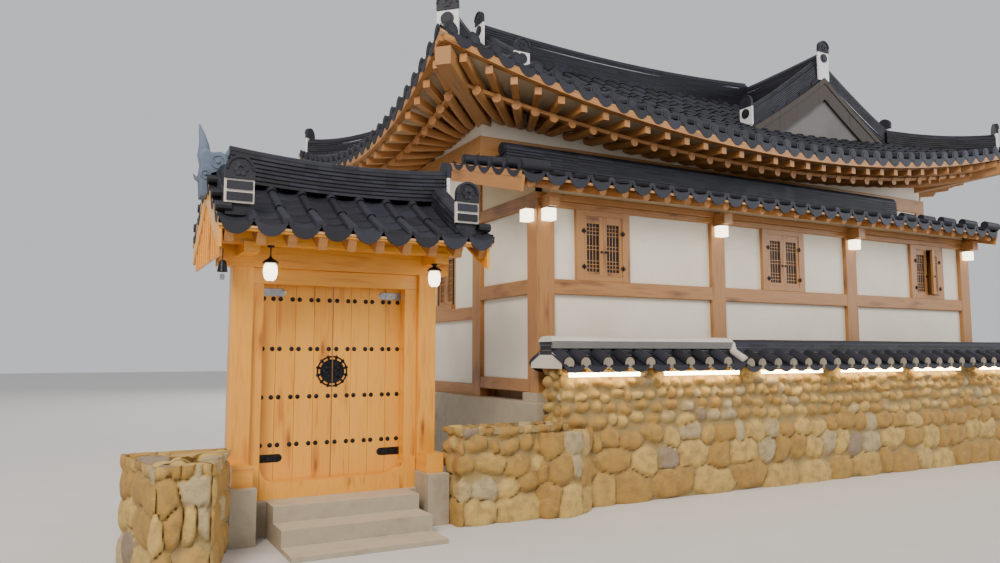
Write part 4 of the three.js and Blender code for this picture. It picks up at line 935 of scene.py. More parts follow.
def gable(name, centre, across, out, skirt):
    """A small field of grey plaster between deep verge boards, under the ends of two slopes."""
    shape = Shape(f"dressed_{name}", GREY_PLASTER, VERGE)
    across, out = Vector((*across, 0)), Vector((*out, 0))
    centre = Vector((*centre, 0))
    half = RUN - skirt
    places = [mix(-half, half, t) for t in even(24)]
    tops = [EAVE_TILE_TOP + rise(RUN - abs(s)) for s in places]
    base = EAVE_TILE_TOP + rise(skirt) - 0.2
    wall = [
        [centre - out * 0.02 + across * s + UP * base for s in places],
        [centre - out * 0.02 + across * s + UP * max(base, z - 0.08) for s, z in zip(places, tops)],
    ]
    shape.use(GREY_PLASTER).grid(wall, tone=DARK_TONE)
    shape.grid([[p - out * 0.1 for p in row] for row in wall], tone=DARK_TONE)
    shape.use(VERGE)
    for part in (slice(0, 13), slice(12, 25)):
        for near, far, high, deep in ((-0.002, 0.036, 0.01, VERGE_DEEP), (0.034, 0.052, 0.012, 0.12)):
            rows = []
            for proud, under in ((near, True), (far, True), (far, False), (near, False)):
                row = []
                for s, z in zip(places[part], tops[part]):
                    up = max(base, z - deep) if under else z - high
                    row.append(centre + out * proud + across * s + UP * max(base, up))
                rows.append(row)
            shape.grid(rows, tone=UNDER_TONE)
    shape.make(replaces=[name], slot="gable_board")


def dress_gables():
    gable("gable_left", (LEFT_GABLE_X, MAIN_RIDGE_Y), (0, 1), (-1, 0), LEFT_SKIRT)
    gable("gable_street", (WING_RIDGE_X, WING_GABLE_Y), (1, 0), (0, -1), SKIRT)
    gable("gable_back", (WING_RIDGE_X, WING_BACK_GABLE_Y), (1, 0), (0, 1), SKIRT)


# Eaves

TIP, SECOND_TIP = 0.08, 0.40
RAFTER_END = OVERHANG + 0.1
FAN, FIRST_RAFTER, FIRST_INNER = 2.2, 0.34, 1.4
BOARD_HIGH = 0.08
LOG_RADIUS = 0.062
RAFTER_PITCH = 0.36


def fanned(c, length, start_hip, end_hip):
    def turned(c):
        return mix(FIRST_INNER, FAN, (c - FIRST_RAFTER) / (FAN - FIRST_RAFTER))

    if start_hip and c < FAN:
        return turned(c)
    if end_hip and length - c < FAN:
        return length - turned(length - c)
    return c


def along_eave(shape, side, d, drop, half, high, start_turn, end_turn):
    """A board along the eave at one depth."""
    start, end = start_turn * d + 0.002, side.length - end_turn * d - 0.002
    stations = []
    for t in even(30):
        c = mix(start, end, t)
        ahead = Vector((*side.plan(c + 0.05, d), 0)) - Vector((*side.plan(c - 0.05, d), 0))
        across = ahead.normalized().cross(UP)
        stations.append((side.below(c, d, drop), across, UP))
    shape.sweep(stations, oblong(half, -high, 0))


def dress_eave(name, side, start_hip, end_hip):
    shape = Shape(f"timbers_{name}", EAVES, CREAM)
    shape.use(EAVES)
    turns = (1 if start_hip else -1, 1 if end_hip else -1)
    along_eave(shape, side, 0.058, -0.012, 0.05, BOARD_HIGH, *turns)
    along_eave(shape, side, SECOND_TIP + 0.06, 0.175, 0.04, 0.05, *turns)
    start = FIRST_RAFTER if start_hip else 0.2
    end = side.length - (FIRST_RAFTER if end_hip else 0.2)
    count = round((end - start) / RAFTER_PITCH)
    seat = OVERHANG - TIP
    for t in even(count):
        c = mix(start, end, t)
        inner = fanned(c, side.length, start_hip, end_hip)

        def point(d, drop):
            past = min(1, (d - TIP) / seat)
            return side.below(mix(c, inner, (d - TIP) / seat), d, mix(BOARD_HIGH, 0.031, past) + drop)

        def run(first, last, drop, profile):
            points = [point(mix(first, last, s), drop) for s in even(4)]
            way = points[-1] - points[0]
            side_way = Vector((-way.y, way.x, 0)).normalized()
            shape.sweep([(p, side_way, UP) for p in points], profile)

        run(TIP, RAFTER_END - 0.02, 0.055, oblong(0.045, -0.05, 0.05))
        run(SECOND_TIP, RAFTER_END, 0.115 + LOG_RADIUS, circle(LOG_RADIUS, 12))
    shape.use(CREAM)
    depth = OVERHANG + 0.05
    first, last = turns[0] * depth, side.length - turns[1] * depth
    places = [mix(first, last, t) for t in even(24)]
    lower = [Vector((*side.plan(c, depth), RING_HIGH - 0.02)) for c in places]
    upper = [side.below(c, depth, -0.02) for c in places]
    shape.grid([lower, upper], tone=EVEN_TONE)
    shape.make(replaces=[name], slot="brown_pine")


def dress_eaves():
    dress_eave("rafters_front", FRONT, True, True)
    dress_eave("rafters_left", LEFT, True, True)
    dress_eave("rafters_right", RIGHT, True, True)
    dress_eave("rafters_main_back", MAIN_REAR, True, False)
    dress_eave("rafters_wing_left", WING_COURT, False, True)
    dress_eave("rafters_wing_back", WING_REAR, True, True)


# Timber frame of the main block, and its walls

WALL_SILL_HIGH = 1.25
MID_RAIL = (2.12, 2.29)
TIMBER_SET = 0.006  # a crossing timber lies this far behind a post's face


def hip_beam(shape, ring, corner, side):
    out = (math.copysign(1, corner[0] - ring[0]), math.copysign(1, corner[1] - ring[1]))
    tip = (corner[0] - out[0] * 0.06, corner[1] - out[1] * 0.06)
    start = (ring[0] - out[0] * 0.3, ring[1] - out[1] * 0.3)
    tip_top = side.under(*tip) - BOARD_HIGH - 0.05
    start_top = min(side.under(*start) - 0.06, RING_HIGH + 0.33)
    across = Vector((-out[1], out[0], 0)).normalized()
    stations = []
    for t in even(8):
        x, y = mix(tip[0], start[0], t), mix(tip[1], start[1], t)
        stations.append((Vector((x, y, mix(tip_top, start_top, t))), across, UP))
    shape.sweep(stations, oblong(0.1, -0.22, 0))


def dress_main_frame():
    shape = Shape("main_timbers", BROWN)
    for x in (*POST_CENTRES, HOUSE_RIGHT - TIMBER / 2):
        near, far = LEAN_TO_DEPTH, LEAN_TO_DEPTH + TIMBER
        shape.block(x - POST_HALF, x + POST_HALF, near, far, TERRACE_TOP, RING_LOW + 0.01)
    low, high = RING_LOW, RING_HIGH
    shape.block(0, HOUSE_RIGHT, LEAN_TO_DEPTH, LEAN_TO_DEPTH + TIMBER, low, high)
    shape.block(0, TIMBER, LEAN_TO_DEPTH + TIMBER, MAIN_BACK, low, high)
    shape.block(TIMBER, WING_LEFT + TIMBER, MAIN_BACK - TIMBER, MAIN_BACK, low, high)
    shape.block(HOUSE_RIGHT - TIMBER, HOUSE_RIGHT, LEAN_TO_DEPTH + TIMBER, WING_BACK, low, high)
    shape.block(WING_LEFT, WING_LEFT + TIMBER, MAIN_BACK, WING_BACK, low, high)
    shape.block(WING_LEFT + TIMBER, HOUSE_RIGHT - TIMBER, WING_BACK - TIMBER, WING_BACK, low, high)
    hip_beam(shape, (0, LEAN_TO_DEPTH), (EAVE_LEFT, EAVE_FRONT), FRONT)
    hip_beam(shape, (HOUSE_RIGHT, LEAN_TO_DEPTH), (EAVE_RIGHT, EAVE_FRONT), FRONT)
    hip_beam(shape, (0, MAIN_BACK), (EAVE_LEFT, EAVE_MAIN_BACK), LEFT)
    hip_beam(shape, (WING_LEFT, WING_BACK), (EAVE_WING_LEFT, EAVE_WING_BACK), WING_REAR)
    hip_beam(shape, (HOUSE_RIGHT, WING_BACK), (EAVE_RIGHT, EAVE_WING_BACK), WING_REAR)
    shape.make(replaces=["main_frame"], slot="brown_pine", bevel=0.008)


class Wall:
    """A timbered wall: at(s, d, z) is s along it, d in from its face and z up."""

    def __init__(self, shape, origin, along, into):
        self.shape = shape
        self.origin = Vector((*origin, 0))
        self.along = Vector((*along, 0))
        self.into = Vector((*into, 0))

    def at(self, s, d, z):
        return self.origin + self.along * s + self.into * d + UP * z

    def stud(self, s, width, low, high, near=0.0, far=TIMBER):
        middle = (near + far) / 2
        self.shape.use(BROWN).beam(self.at(s, middle, low), self.at(s, middle, high), width, far - near)
        return self

    def rail(self, start, end, low, high, near, far, material=None, tone=None):
        middle, z = (near + far) / 2, (low + high) / 2
        ends = self.at(start, middle, z), self.at(end, middle, z)
        self.shape.use(material or BROWN).beam(*ends, far - near, high - low, tone)
        return self

    def panel(self, start, end, low, high):
        return self.rail(start, end, low, high, 0.06, 0.19, CREAM, EVEN_TONE)


def side_wall(name, origin, along, into, length, posts, hole=None):
    wall = Wall(Shape(f"timbered_{name}", BROWN, CREAM), origin, along, into)
    low, high = TERRACE_TOP, RING_LOW
    start, length = TIMBER_SET, length - TIMBER_SET
    rail = (*MID_RAIL, 0.015, 0.2)
    wall.rail(start, length, low, WALL_SILL_HIGH, TIMBER_SET, 0.2)
    for s in posts:
        wall.stud(s, TIMBER, low, high)
    if hole:
        s0, s1, z0, z1 = hole
        wall.panel(start, s0, WALL_SILL_HIGH, high).panel(s1, length, WALL_SILL_HIGH, high)
        wall.panel(s0, s1, z1, high)
        if z0 > MID_RAIL[0]:
            wall.panel(s0, s1, WALL_SILL_HIGH, z0).rail(start, length, *rail)
        else:
            wall.rail(start, s0, *rail).rail(s1, length, *rail)
    else:
        wall.panel(start, length, WALL_SILL_HIGH, high).rail(start, length, *rail)
    wall.shape.make(replaces=[name], slot="plaster", bevel=0.005)


def surround(wall, s0, s1, z0, z1, near, far, side, foot, head):
    """Two uprights, and a rail at the foot and at the head between them."""
    for s in (s0 + side / 2, s1 - side / 2):
        wall.stud(s, side, z0, z1, near, far)
    for low, high in ((z0, z0 + foot), (z1 - head, z1)):
        wall.rail(s0 + side, s1 - side, low, high, near, far)


def leaf(wall, s0, s1, z0, z1, columns, rows, near=0.02, far=0.06, stile=0.055, head=0.055):
    """A window leaf: stiles, rails, and a lattice of thin bars over glass painted near-black as the shade of
    the room behind it.
    """
    surround(wall, s0, s1, z0, z1, near, far, stile, stile, head)
    left, right, low, high = s0 + stile, s1 - stile, z0 + stile, z1 - head
    middle = (near + far) / 2
    bar, front, back = 0.009, middle - 0.007, middle + 0.007
    for i in range(1, columns):
        wall.stud(mix(left, right, i / columns), bar, low, high, front, back)
    group = round(rows / 4)
    for i in range(1, rows):
        if i <= group or i >= rows - group or abs(i - rows / 2) <= 1:
            z = mix(low, high, i / rows)
            wall.rail(left, right, z - bar / 2, z + bar / 2, front + 0.002, back - 0.002)
    # The pane: glass painted near-black as the shade of the room behind it.
    wall.rail(left, right, low, high, middle - 0.003, middle + 0.003, GLASS_PAINTED_DARK)


def opening(name, origin, along, into):
    return Wall(Shape(f"glazed_{name}", BROWN, GLASS_PAINTED_DARK, IRON), origin, along, into)


def dress_side_walls():
    start = LEAN_TO_DEPTH + TIMBER
    left_length = MAIN_BACK - start
    window = (left_length - 1.35, left_length - 0.65, 2.29, 3.15)
    left = ((0, MAIN_BACK), (0, -1), (1, 0))
    side_wall("left_wall", *left, left_length, [POST_HALF, left_length / 2 + 0.06], window)
    back = ((WING_LEFT, MAIN_BACK), (-1, 0), (0, -1))
    door = (1.7, 3.3, 1.25, 3.3)
    side_wall("main_back_wall", *back, WING_LEFT - TIMBER, [1.58, 3.42], door)
    wing_length = WING_BACK - MAIN_BACK + TIMBER
    posts = [POST_HALF, wing_length - POST_HALF]
    side_wall("wing_left_wall", (WING_LEFT, WING_BACK), (0, -1), (1, 0), wing_length, posts)
    wing_end = HOUSE_RIGHT - WING_LEFT - 2 * TIMBER
    wing_corner = (HOUSE_RIGHT - TIMBER, WING_BACK)
    side_wall("wing_back_wall", wing_corner, (-1, 0), (0, -1), wing_end, [wing_end / 2])
    right_length = WING_BACK - start
    posts = [right_length / 3, right_length * 2 / 3, right_length - POST_HALF]
    side_wall("right_wall", (HOUSE_RIGHT, start), (0, 1), (-1, 0), right_length, posts)
    end = Shape("plastered_street_end_wall", CREAM)
    end.block(LEAN_TO_END, HOUSE_RIGHT - TIMBER, 1.5, 1.64, TERRACE_TOP, RING_LOW, EVEN_TONE)
    end.make(replaces=["street_end_wall"], slot="plaster")
    for name, place, hole, count, columns, rows in (
        ("left_window", left, window, 2, 5, 9),
        ("courtyard_doors", back, door, 4, 4, 14),
    ):
        wall = opening(name, *place)
        s0, s1, z0, z1 = hole
        rim = 0.07
        surround(wall, s0, s1, z0, z1, 0.02, 0.18, rim, rim, rim)
        step = (s1 - s0 - 2 * rim) / count
        for i in range(count):
            a = s0 + rim + step * i
            leaf(wall, a + 0.002, a + step - 0.002, z0 + rim, z1 - rim, columns, rows, 0.06, 0.12, 0.05)
        wall.shape.make(replaces=[name], slot="brown_pine", bevel=0.002)


# Lean-to

WINDOWS = [(0.56, 1.36), (3.68, 4.52), (6.99, 7.83)]
CASING_SIDE, AJAR_DEGREES = 0.11, 19
LEAN_EAVE_Y, LEAN_LEFT, LEAN_RIGHT = -0.45, -0.46, 8.63
LEAN_TOP, LEAN_SLOPE, LEAN_THICK = 3.69, 0.26, 0.13
BAND = (0.25, 8.5, 1.215, 1.46)
BAND_TOP = 4.51
LEAN_BOARDS = LEAN_THICK - 0.03
SIDE_TILE, GATE_SIDE_TILE = 0.36, 0.27
SMALL_SEAT = 0.02  # on the small roofs, the pans' edges lie this far below the solids' tile line
EDGE_DROP = 0.05  # and the edges of their boards start this far below the pans
HEAD_RAIL = 0.1
REBATE = 0.008  # a leaf's edges lie this far inside its casing
COLUMNS, ROWS = 4, 13


def dress_lean_to_frame():
    shape = Shape("lean_to_timbers", BROWN)
    low, high = FRONT_BEAM_LOW, FRONT_BEAM_HIGH
    near, far = TIMBER_SET, TIMBER - TIMBER_SET
    left, right = TIMBER_SET, LEAN_TO_END - TIMBER_SET
    for x in POST_CENTRES:
        shape.block(x - POST_HALF, x + POST_HALF, 0, TIMBER, STONE_TOP, low)
        shape.block(x - 0.07, x + 0.07, -0.2, 0.02, 3.37, 3.52)
    shape.block(0, LEAN_TO_END, -0.008, TIMBER, BEAM_LIP, high)
    shape.block(left, right, near, far, low, BEAM_LIP - 0.001)
    shape.block(left, right, near, 0.06, RAIL_LOW, RAIL_HIGH)
    shape.block(left, right, near, far, STONE_TOP, FOOT_BEAM_HIGH)
    for x, face in ((0, near), (LEAN_TO_END - TIMBER, LEAN_TO_END - 0.06)):
        inner, outer = x + near, x + far
        shape.block(inner, outer, far, LEAN_TO_DEPTH, low, high)
        shape.block(face, face + 0.06 - near, far, LEAN_TO_DEPTH, RAIL_LOW, RAIL_HIGH)
        shape.block(inner, outer, far, LEAN_TO_DEPTH, STONE_TOP, FOOT_BEAM_HIGH)
    shape.make(replaces=["lean_to_frame"], slot="brown_pine", bevel=0.008)


def dress_street_windows():
    for number, (x0, x1) in enumerate(WINDOWS, 1):
        name = f"front_window_{number}"
        wall = opening(name, (0, 0), (1, 0), (0, 1))
        low, high, rim = RAIL_HIGH, FRONT_BEAM_LOW, 0.065
        surround(wall, x0, x1, low, high, 0.01, 0.2, CASING_SIDE, rim, rim)
        middle = (x0 + x1) / 2
        first, last = x0 + CASING_SIDE - REBATE, x1 - CASING_SIDE + REBATE
        base, top = low + rim - REBATE, high - rim + REBATE
        leaf(wall, first, middle - 0.001, base, top, COLUMNS, ROWS, head=HEAD_RAIL)
        knobs = [(Vector((middle - 0.03, 0, 0)), Vector((0, 1, 0)))]
        if number < 3:
            leaf(wall, middle + 0.001, last, base, top, COLUMNS, ROWS, head=HEAD_RAIL)
            knobs.append((Vector((middle + 0.03, 0, 0)), Vector((0, 1, 0))))
        else:
            turn = math.radians(AJAR_DEGREES)
            across = (-math.cos(turn), -math.sin(turn))
            wide, low, high = last - middle, base + 0.01, top - 0.01
            ajar = Wall(wall.shape, (last - 0.004, 0.024), across, (-math.sin(turn), math.cos(turn)))
            leaf(ajar, 0.0, wide - 0.005, low, high, COLUMNS, ROWS, -0.004, 0.036, head=HEAD_RAIL)
            knobs.append((ajar.at(wide - 0.035, -0.024, 0), ajar.into))
        shape = wall.shape.use(IRON)
        for z in (base + 0.11, top - 0.2):
            for x in (first + 0.004, last - 0.004):
                shape.log((x, 0.004, z - 0.03), (x, 0.004, z + 0.03), 0.009, 8)
                shape.block(x - 0.03, x + 0.03, 0.004, 0.012, z - 0.016, z + 0.016)
        for place, inward in knobs:
            knob = place + UP * (base + 0.3)
            shape.log(knob + inward * 0.022, knob + inward * 0.002, 0.014, 10)
        shape.make(replaces=[name], slot="brown_pine", bevel=0.0015)


def lean_surface(c, d):
    return Vector((LEAN_LEFT + c, LEAN_EAVE_Y + d, LEAN_TOP + LEAN_SLOPE * d - SMALL_SEAT))


def lowered(surface, drop):
    return lambda c, d: surface(c, d) - UP * drop


def strip(shape, low, high, places):
    """An edge between two surfaces, along places of (c, d)."""
    shape.grid([[surface(*place) for place in places] for surface in (low, high)], tone=UNDER_TONE)


def dress_lean_to_roof():
    width, depth = LEAN_RIGHT - LEAN_LEFT, LEAN_TO_DEPTH - LEAN_EAVE_Y - 0.002
    shape = Shape("tiles_lean_to_roof", TILE, EAVES, EAVE_PLASTER)
    shape.use(TILE)
    region = Region(None, 0, width, level(0), level(depth), True)
    small_tiles(shape, region, lean_surface, width / 30)
    shape.use(EAVE_PLASTER)
    under = lowered(lean_surface, LEAN_BOARDS - SMALL_SEAT)
    across, depths = [0, width / 2, width], [0.005, depth / 2, depth]
    shape.grid([[under(c, d) for c in across] for d in depths], tone=UNDER_TONE)
    shape.use(EAVES)
    for c in (0, width):
        strip(shape, under, lean_surface, [(c, d) for d in depths])
    for d in (depths[0], depth):
        strip(shape, under, lowered(lean_surface, EDGE_DROP), [(c, d) for c in across])
    shape.use(TILE)
    for c, out in ((0, Vector((-1, 0, 0))), (width, Vector((1, 0, 0)))):
        side = facing(Vector((0, 1, LEAN_SLOPE)).normalized(), out)
        for i in range(5):
            point = lean_surface(c, 0.2 + SIDE_TILE * i)
            drop_tile(shape, point + UP * 0.03, side, out, SIDE_TILE, 0.05)
            roll = lean_surface(c, 0.02 + SIDE_TILE * i)
            end = roll + UP * 0.065
            shape.log(roll + UP * 0.075 - out * 0.34, end + out * 0.012, 0.065, 12)
            shape.log(end + out * 0.012, end + out * 0.02, 0.045, 12)
    shape.use(EAVES)
    for x in (LEAN_LEFT + 0.02, LEAN_RIGHT - 0.02):
        low, high = lean_surface(0, 0.02), lean_surface(0, depth - 0.02)
        shape.beam((x, low.y, low.z - 0.15), (x, high.y, high.z - 0.15), 0.03, 0.17)
    x0, x1, y0, y1 = BAND
    shape.use(TILE)
    places = [mix(x0 + 0.02, x1, t) for t in even(28)]
    seats = [lean_surface(0, y0 - LEAN_EAVE_Y).z - 0.02] * 29
    ridge_courses(shape, [(x, (y0 + y1) / 2) for x in places], y1 - y0, seats, [BAND_TOP] * 29)
    end = Vector((x0 - 0.004, (y0 + y1) / 2, BAND_TOP - 0.09))
    shape.log(end, end + Vector((0.2, 0, 0)), 0.085, 14)
    shape.log(end - Vector((0.01, 0, 0)), end, 0.055, 12)
    shape.make(replaces=["lean_to_roof"], slot="roof_tile")


def small_tiles(shape, region, surface, pitch):
    """Wide pan tiles between narrow rolls, with deep scallops at the eave."""
    count = round((region.high - region.low) / pitch)
    for i in range(count):
        c0, c1 = region.low + i * pitch, region.low + (i + 1) * pitch
        pans(shape, region, surface, c0, c1)
        middle = (c0 + c1) / 2
        point = surface(middle, 0)
        side = (surface(c1, 0) - surface(c0, 0)).normalized()
        out = outward(surface, middle)
        drop_tile(shape, point + UP * 0.012, facing(side, out), out, c1 - c0 + 0.012, 0.075)
        if i:
            rolls(shape, region, surface, c0)


def rolls(shape, region, surface, c):
    side = (surface(c + 0.02, 0.1) - surface(c - 0.02, 0.1)).normalized()
    start, end = region.start(c), region.end(c)
    tile = 0
    while start + tile * COVER_TILE < end - 0.001:
        a, b = start + tile * COVER_TILE, min(end, start + (tile + 1) * COVER_TILE)
        rows = []
        for depth, grow in ((a, 0.006), (b, 0)):
            rows.append(half_round(surface(c, depth), side, 0.044 + grow, grow - 0.006, 5))
        shape.grid(rows)
        tile += 1
    ring = half_round(surface(c, start), side, 0.05, 0, 6)[::-1]
    shape.face(ring, [(p.x, p.z) for p in ring])


def dress_lean_to_rafters():
    """Round rafters, with plaster between them over the beams."""
    shape = Shape("lean_to_round_rafters", EAVES, EAVE_PLASTER)
    first, pitch = -0.31, 0.3256
    low, high = lean_surface(0, 0.06), lean_surface(0, 1.88)
    drop = LEAN_BOARDS + 0.03
    for i in range(28):
        x = first + i * pitch
        shape.log((x, low.y, low.z - drop), (x, high.y, high.z - drop), 0.052, 12)
    shape.use(EAVE_PLASTER)

    def under(y):
        return lean_surface(0, y - LEAN_EAVE_Y).z - LEAN_BOARDS + 0.018

    base = FRONT_BEAM_HIGH - 0.006
    shape.block(0.03, LEAN_TO_END - 0.03, 0.03, 0.09, base, under(0.06), EVEN_TONE)
    low_corners = [(0.03, base), (LEAN_TO_DEPTH, base)]
    profile = [*low_corners, *((y, under(y)) for y in (LEAN_TO_DEPTH, 0.03))]
    for x in (0.03, LEAN_TO_END - 0.09):
        stations = [(Vector((x + wide, 0, 0)), Vector((0, 1, 0)), UP) for wide in (0, 0.06)]
        shape.sweep(stations, profile, EVEN_TONE)
    shape.make(replaces=["lean_to_rafters"], slot="brown_pine")


def dress_street_plaster():
    low, high = FOOT_BEAM_HIGH, FRONT_BEAM_LOW
    for number, (x0, x1) in enumerate(WINDOWS):
        left, right = POST_CENTRES[number] + POST_HALF, POST_CENTRES[number + 1] - POST_HALF
        shape = Shape(f"plastered_front_wall_{number + 1}", CREAM)
        for a, b in ((left, x0), (x1, right)):
            shape.block(a, b, 0.06, 0.2, low, high, EVEN_TONE)
        shape.block(x0, x1, 0.06, 0.2, low, RAIL_HIGH, EVEN_TONE)
        shape.make(replaces=[f"front_wall_{number + 1}"], slot="plaster")


def glowing(name, color, light, strength):
    material = plain(name, color, 1.0, 0.4)
    sockets = material.node_tree.nodes["Principled BSDF"].inputs
    sockets["Emission Color"].default_value = (*light, 1)
    sockets["Emission Strength"].default_value = strength
    return material


LAMP_GLOW = glowing("lamp_glow", (0.95, 0.88, 0.74), (1.0, 0.84, 0.60), 4.5)
BAR_GLOW = glowing("bar_glow", (0.95, 0.85, 0.60), (1.0, 0.74, 0.36), 24)
LIGHT_BARS = [(0.0, 0.95), (1.32, 2.48), (2.88, 3.98), (4.37, 5.65), (5.95, 7.03), (7.55, 8.95), (9.1, 10.1)]


def dress_lamps():
    """Square lamps on the posts, and bars of light under the street wall's coping."""
    shape = Shape("post_lamps", LAMP_GLOW, STEEL)
    low, high = 3.215, 3.355
    for x in POST_CENTRES:
        shape.use(LAMP_GLOW).block(x - 0.068, x + 0.068, -0.125, -0.01, low, high)
        shape.use(STEEL).block(x - 0.074, x + 0.074, -0.131, -0.003, high, high + 0.012)
        shape.block(x - 0.03, x + 0.03, -0.012, 0.002, low + 0.02, high)
    shape.use(LAMP_GLOW).block(-0.125, -0.01, 0.055, 0.19, low, high)
    shape.use(STEEL).block(-0.131, -0.003, 0.049, 0.196, high, high + 0.012)
    shape.block(-0.012, 0.002, 0.09, 0.15, low + 0.02, high)
    shape.make(slot="lantern_paper", bevel=0.004)
    shape = Shape("light_bars", BAR_GLOW, STEEL)
    for x0, x1 in LIGHT_BARS:
        shape.use(BAR_GLOW).block(x0, x1, -0.668, -0.642, 1.41, 1.455)
        shape.use(STEEL).block(x0 - 0.01, x1 + 0.01, -0.672, -0.625, 1.455, 1.465)
    shape.make(slot="lantern_paper")


# Gatehouse

GATE_CENTRE = -2.43
GATE_POSTS = (-3.335, -1.497)
GATE_POST_HALF = 0.095
GATE_FRONT, GATE_BACK = -0.28, -0.09
OPENING_LOW, OPENING_HIGH, OPENING_HALF = 0.47, 2.32, 0.707
LINTEL_HIGH, GATE_BEAM_HIGH = 2.47, 2.69
GATE_EAVE_LEFT, GATE_EAVE_RIGHT = -3.66, -1.03
GATE_RIDGE_Y, GATE_RUN = -0.03, 0.85
GATE_EAVE_TOP, GATE_RISE, GATE_THICK = 2.817, 0.483, 0.09
GATE_EAVE_LIFT, GATE_RIDGE_LIFT = 0.015, 0.06
GABLE_BOARD_LOW = 2.5
LEAF_FRONT, LEAF_BACK = -0.08, -0.03
LEAF_LOW, LEAF_HIGH = 0.445, 2.345
LEAF_OUTER = OPENING_HALF + 0.03
HINGE_OUT = LEAF_OUTER + 0.022
HINGE_Y = -0.026
HINGE_HEIGHTS = (0.62, 2.2)
STRAP_HEIGHTS = ((0.64, 0.715), (2.215, 2.29))
NAIL_ROWS = (0.80, 1.25, 1.71, 2.19)
PLATE_HEIGHT = 1.49
RIVET = 0.024
NAIL_OUT = 0.034  # nails stand this far each side of a seam between boards
FRAME_DEEP, FRAME_FOOT = 0.132, 0.32
SILL_TONE = 0.35  # the sill and its rounded corners are of one timber
PIN_RADIUS = 0.018


def dome(shape, x, y, z, radius, high, hand=-1):
    """A round-headed nail on a face at y, standing out towards the street."""
    rows = []
    for t in even(3):
        angle = t * math.pi / 2
        reach = max(radius * math.cos(angle), 0.001)
        face = y + hand * high * math.sin(angle)
        rows.append([Vector((x + a, face, z + b)) for a, b in circle(reach, 10)])
    shape.grid(rows, closed=True)


def half_ring(shape, x, y, z, hand, inner, outer, deep, sides=12, start=0.0, turn=math.pi):
    """Part of a flat ring of iron, on one side of the upright line at x."""
    rows = []
    arc = [start + turn * t for t in even(sides)]
    for radius, face in ((outer, y), (outer, y - deep), (inner, y - deep), (inner, y)):
        rows.append([Vector((x + hand * radius * math.sin(a), face, z + radius * math.cos(a))) for a in arc])
    shape.grid(rows if hand > 0 else rows[::-1], tone=EVEN_TONE)


def dress_gate_leaf(name, hand):
    shape = Shape(f"boarded_{name}", HONEY, IRON, STEEL)
    inner, outer = GATE_CENTRE + hand * 0.004, GATE_CENTRE + hand * LEAF_OUTER
    face, z = LEAF_FRONT, PLATE_HEIGHT
    board = (outer - inner) / 4

    def block(x0, x1, *sides):
        shape.block(*sorted((x0, x1)), *sides)

    def nail(x, up, radius, high, sunk=0.001):
        dome(shape, x, face + sunk, up, radius, high)

    def ring_part(*sizes):
        half_ring(shape, inner, face, z, hand, *sizes)

    def on_plate(radius, angle):
        return inner + hand * radius * math.sin(angle), z + radius * math.cos(angle)

    shape.use(HONEY)
    for i in range(4):
        x0, x1 = inner + board * i + hand * 0.0012, inner + board * (i + 1) - hand * 0.0012
        block(x0, x1, LEAF_FRONT, LEAF_BACK, LEAF_LOW, LEAF_HIGH)
    for low in (0.7, 1.4, 2.05):
        block(inner + hand * 0.04, outer - hand * 0.3, LEAF_BACK - 0.002, LEAF_BACK + 0.045, low, low + 0.09)
    shape.use(IRON)
    for up in NAIL_ROWS:
        for i in range(4):
            seam = inner + board * i
            for x in (seam - NAIL_OUT, seam + NAIL_OUT):
                if min(inner, outer) + 0.01 < x < max(inner, outer) - 0.01:
                    nail(x, up, RIVET, 0.012)
        nail(GATE_CENTRE + hand * (OPENING_HALF - 0.028), up, RIVET, 0.012)
    ring_part(0.001, 0.112, 0.004)
    ring_part(0.104, 0.118, 0.008)
    ring_part(0.136, 0.152, 0.005)
    for i in range(6):
        angle = math.pi * (i + 0.5) / 6
        nail(*on_plate(0.146, angle), 0.017, 0.007)
        ring_part(0.11, 0.15, 0.005, 2, angle - 0.09, 0.18)
    for share in (0.25, 0.5, 0.75):
        nail(*on_plate(0.085, math.pi * share), 0.008, 0.006, -0.003)
    x = inner + hand * 0.052
    nail(x, z + 0.03, 0.02, 0.02, -0.003)
    turns = [2 * math.pi * t for t in even(16)]
    ring = [(x + 0.034 * math.sin(turn), z - 0.012 + 0.034 * math.cos(turn)) for turn in turns]
    hoop(shape, [Vector((a, face - 0.017, b)) for a, b in ring], Vector((0, 1, 0)), 0.0045)
    pin, strap = GATE_CENTRE + hand * HINGE_OUT, outer - hand * 0.03
    for height, (low, high), metal in zip(HINGE_HEIGHTS, STRAP_HEIGHTS, (IRON, STEEL)):
        shape.use(metal)
        shape.log((pin, HINGE_Y, height), (pin, HINGE_Y, height + 0.09), PIN_RADIUS, 12)
        plate = (LEAF_BACK - 0.004, LEAF_BACK + 0.012, height + 0.015, height + 0.075)
        block(outer - hand * 0.26, pin, *plate)
        tip = strap - hand * 0.2
        block(tip, strap, face - 0.006, face + 0.001, low, high)
        nail(tip, (low + high) / 2, (high - low) / 2, 0.006, 0)
        for s in (0.03, 0.1, 0.16):
            nail(strap - hand * s, (low + high) / 2, 0.009, 0.005, -0.005)
    body = f"gate_leaf_{'left' if hand < 0 else 'right'}"
    shape.make(body, replaces=[name], slot="honey_pine", bevel=0.0025)


def hoop(shape, points, out, radius):
    """A round bar along a closed run of points."""
    stations = []
    for i, point in enumerate(points):
        ahead = points[(i + 1) % (len(points) - 1)] - points[i - 1 if i else -2]
        side = ahead.normalized().cross(out).normalized()
        stations.append((point, side, out))
    shape.sweep(stations, circle(radius, 6), caps=False)


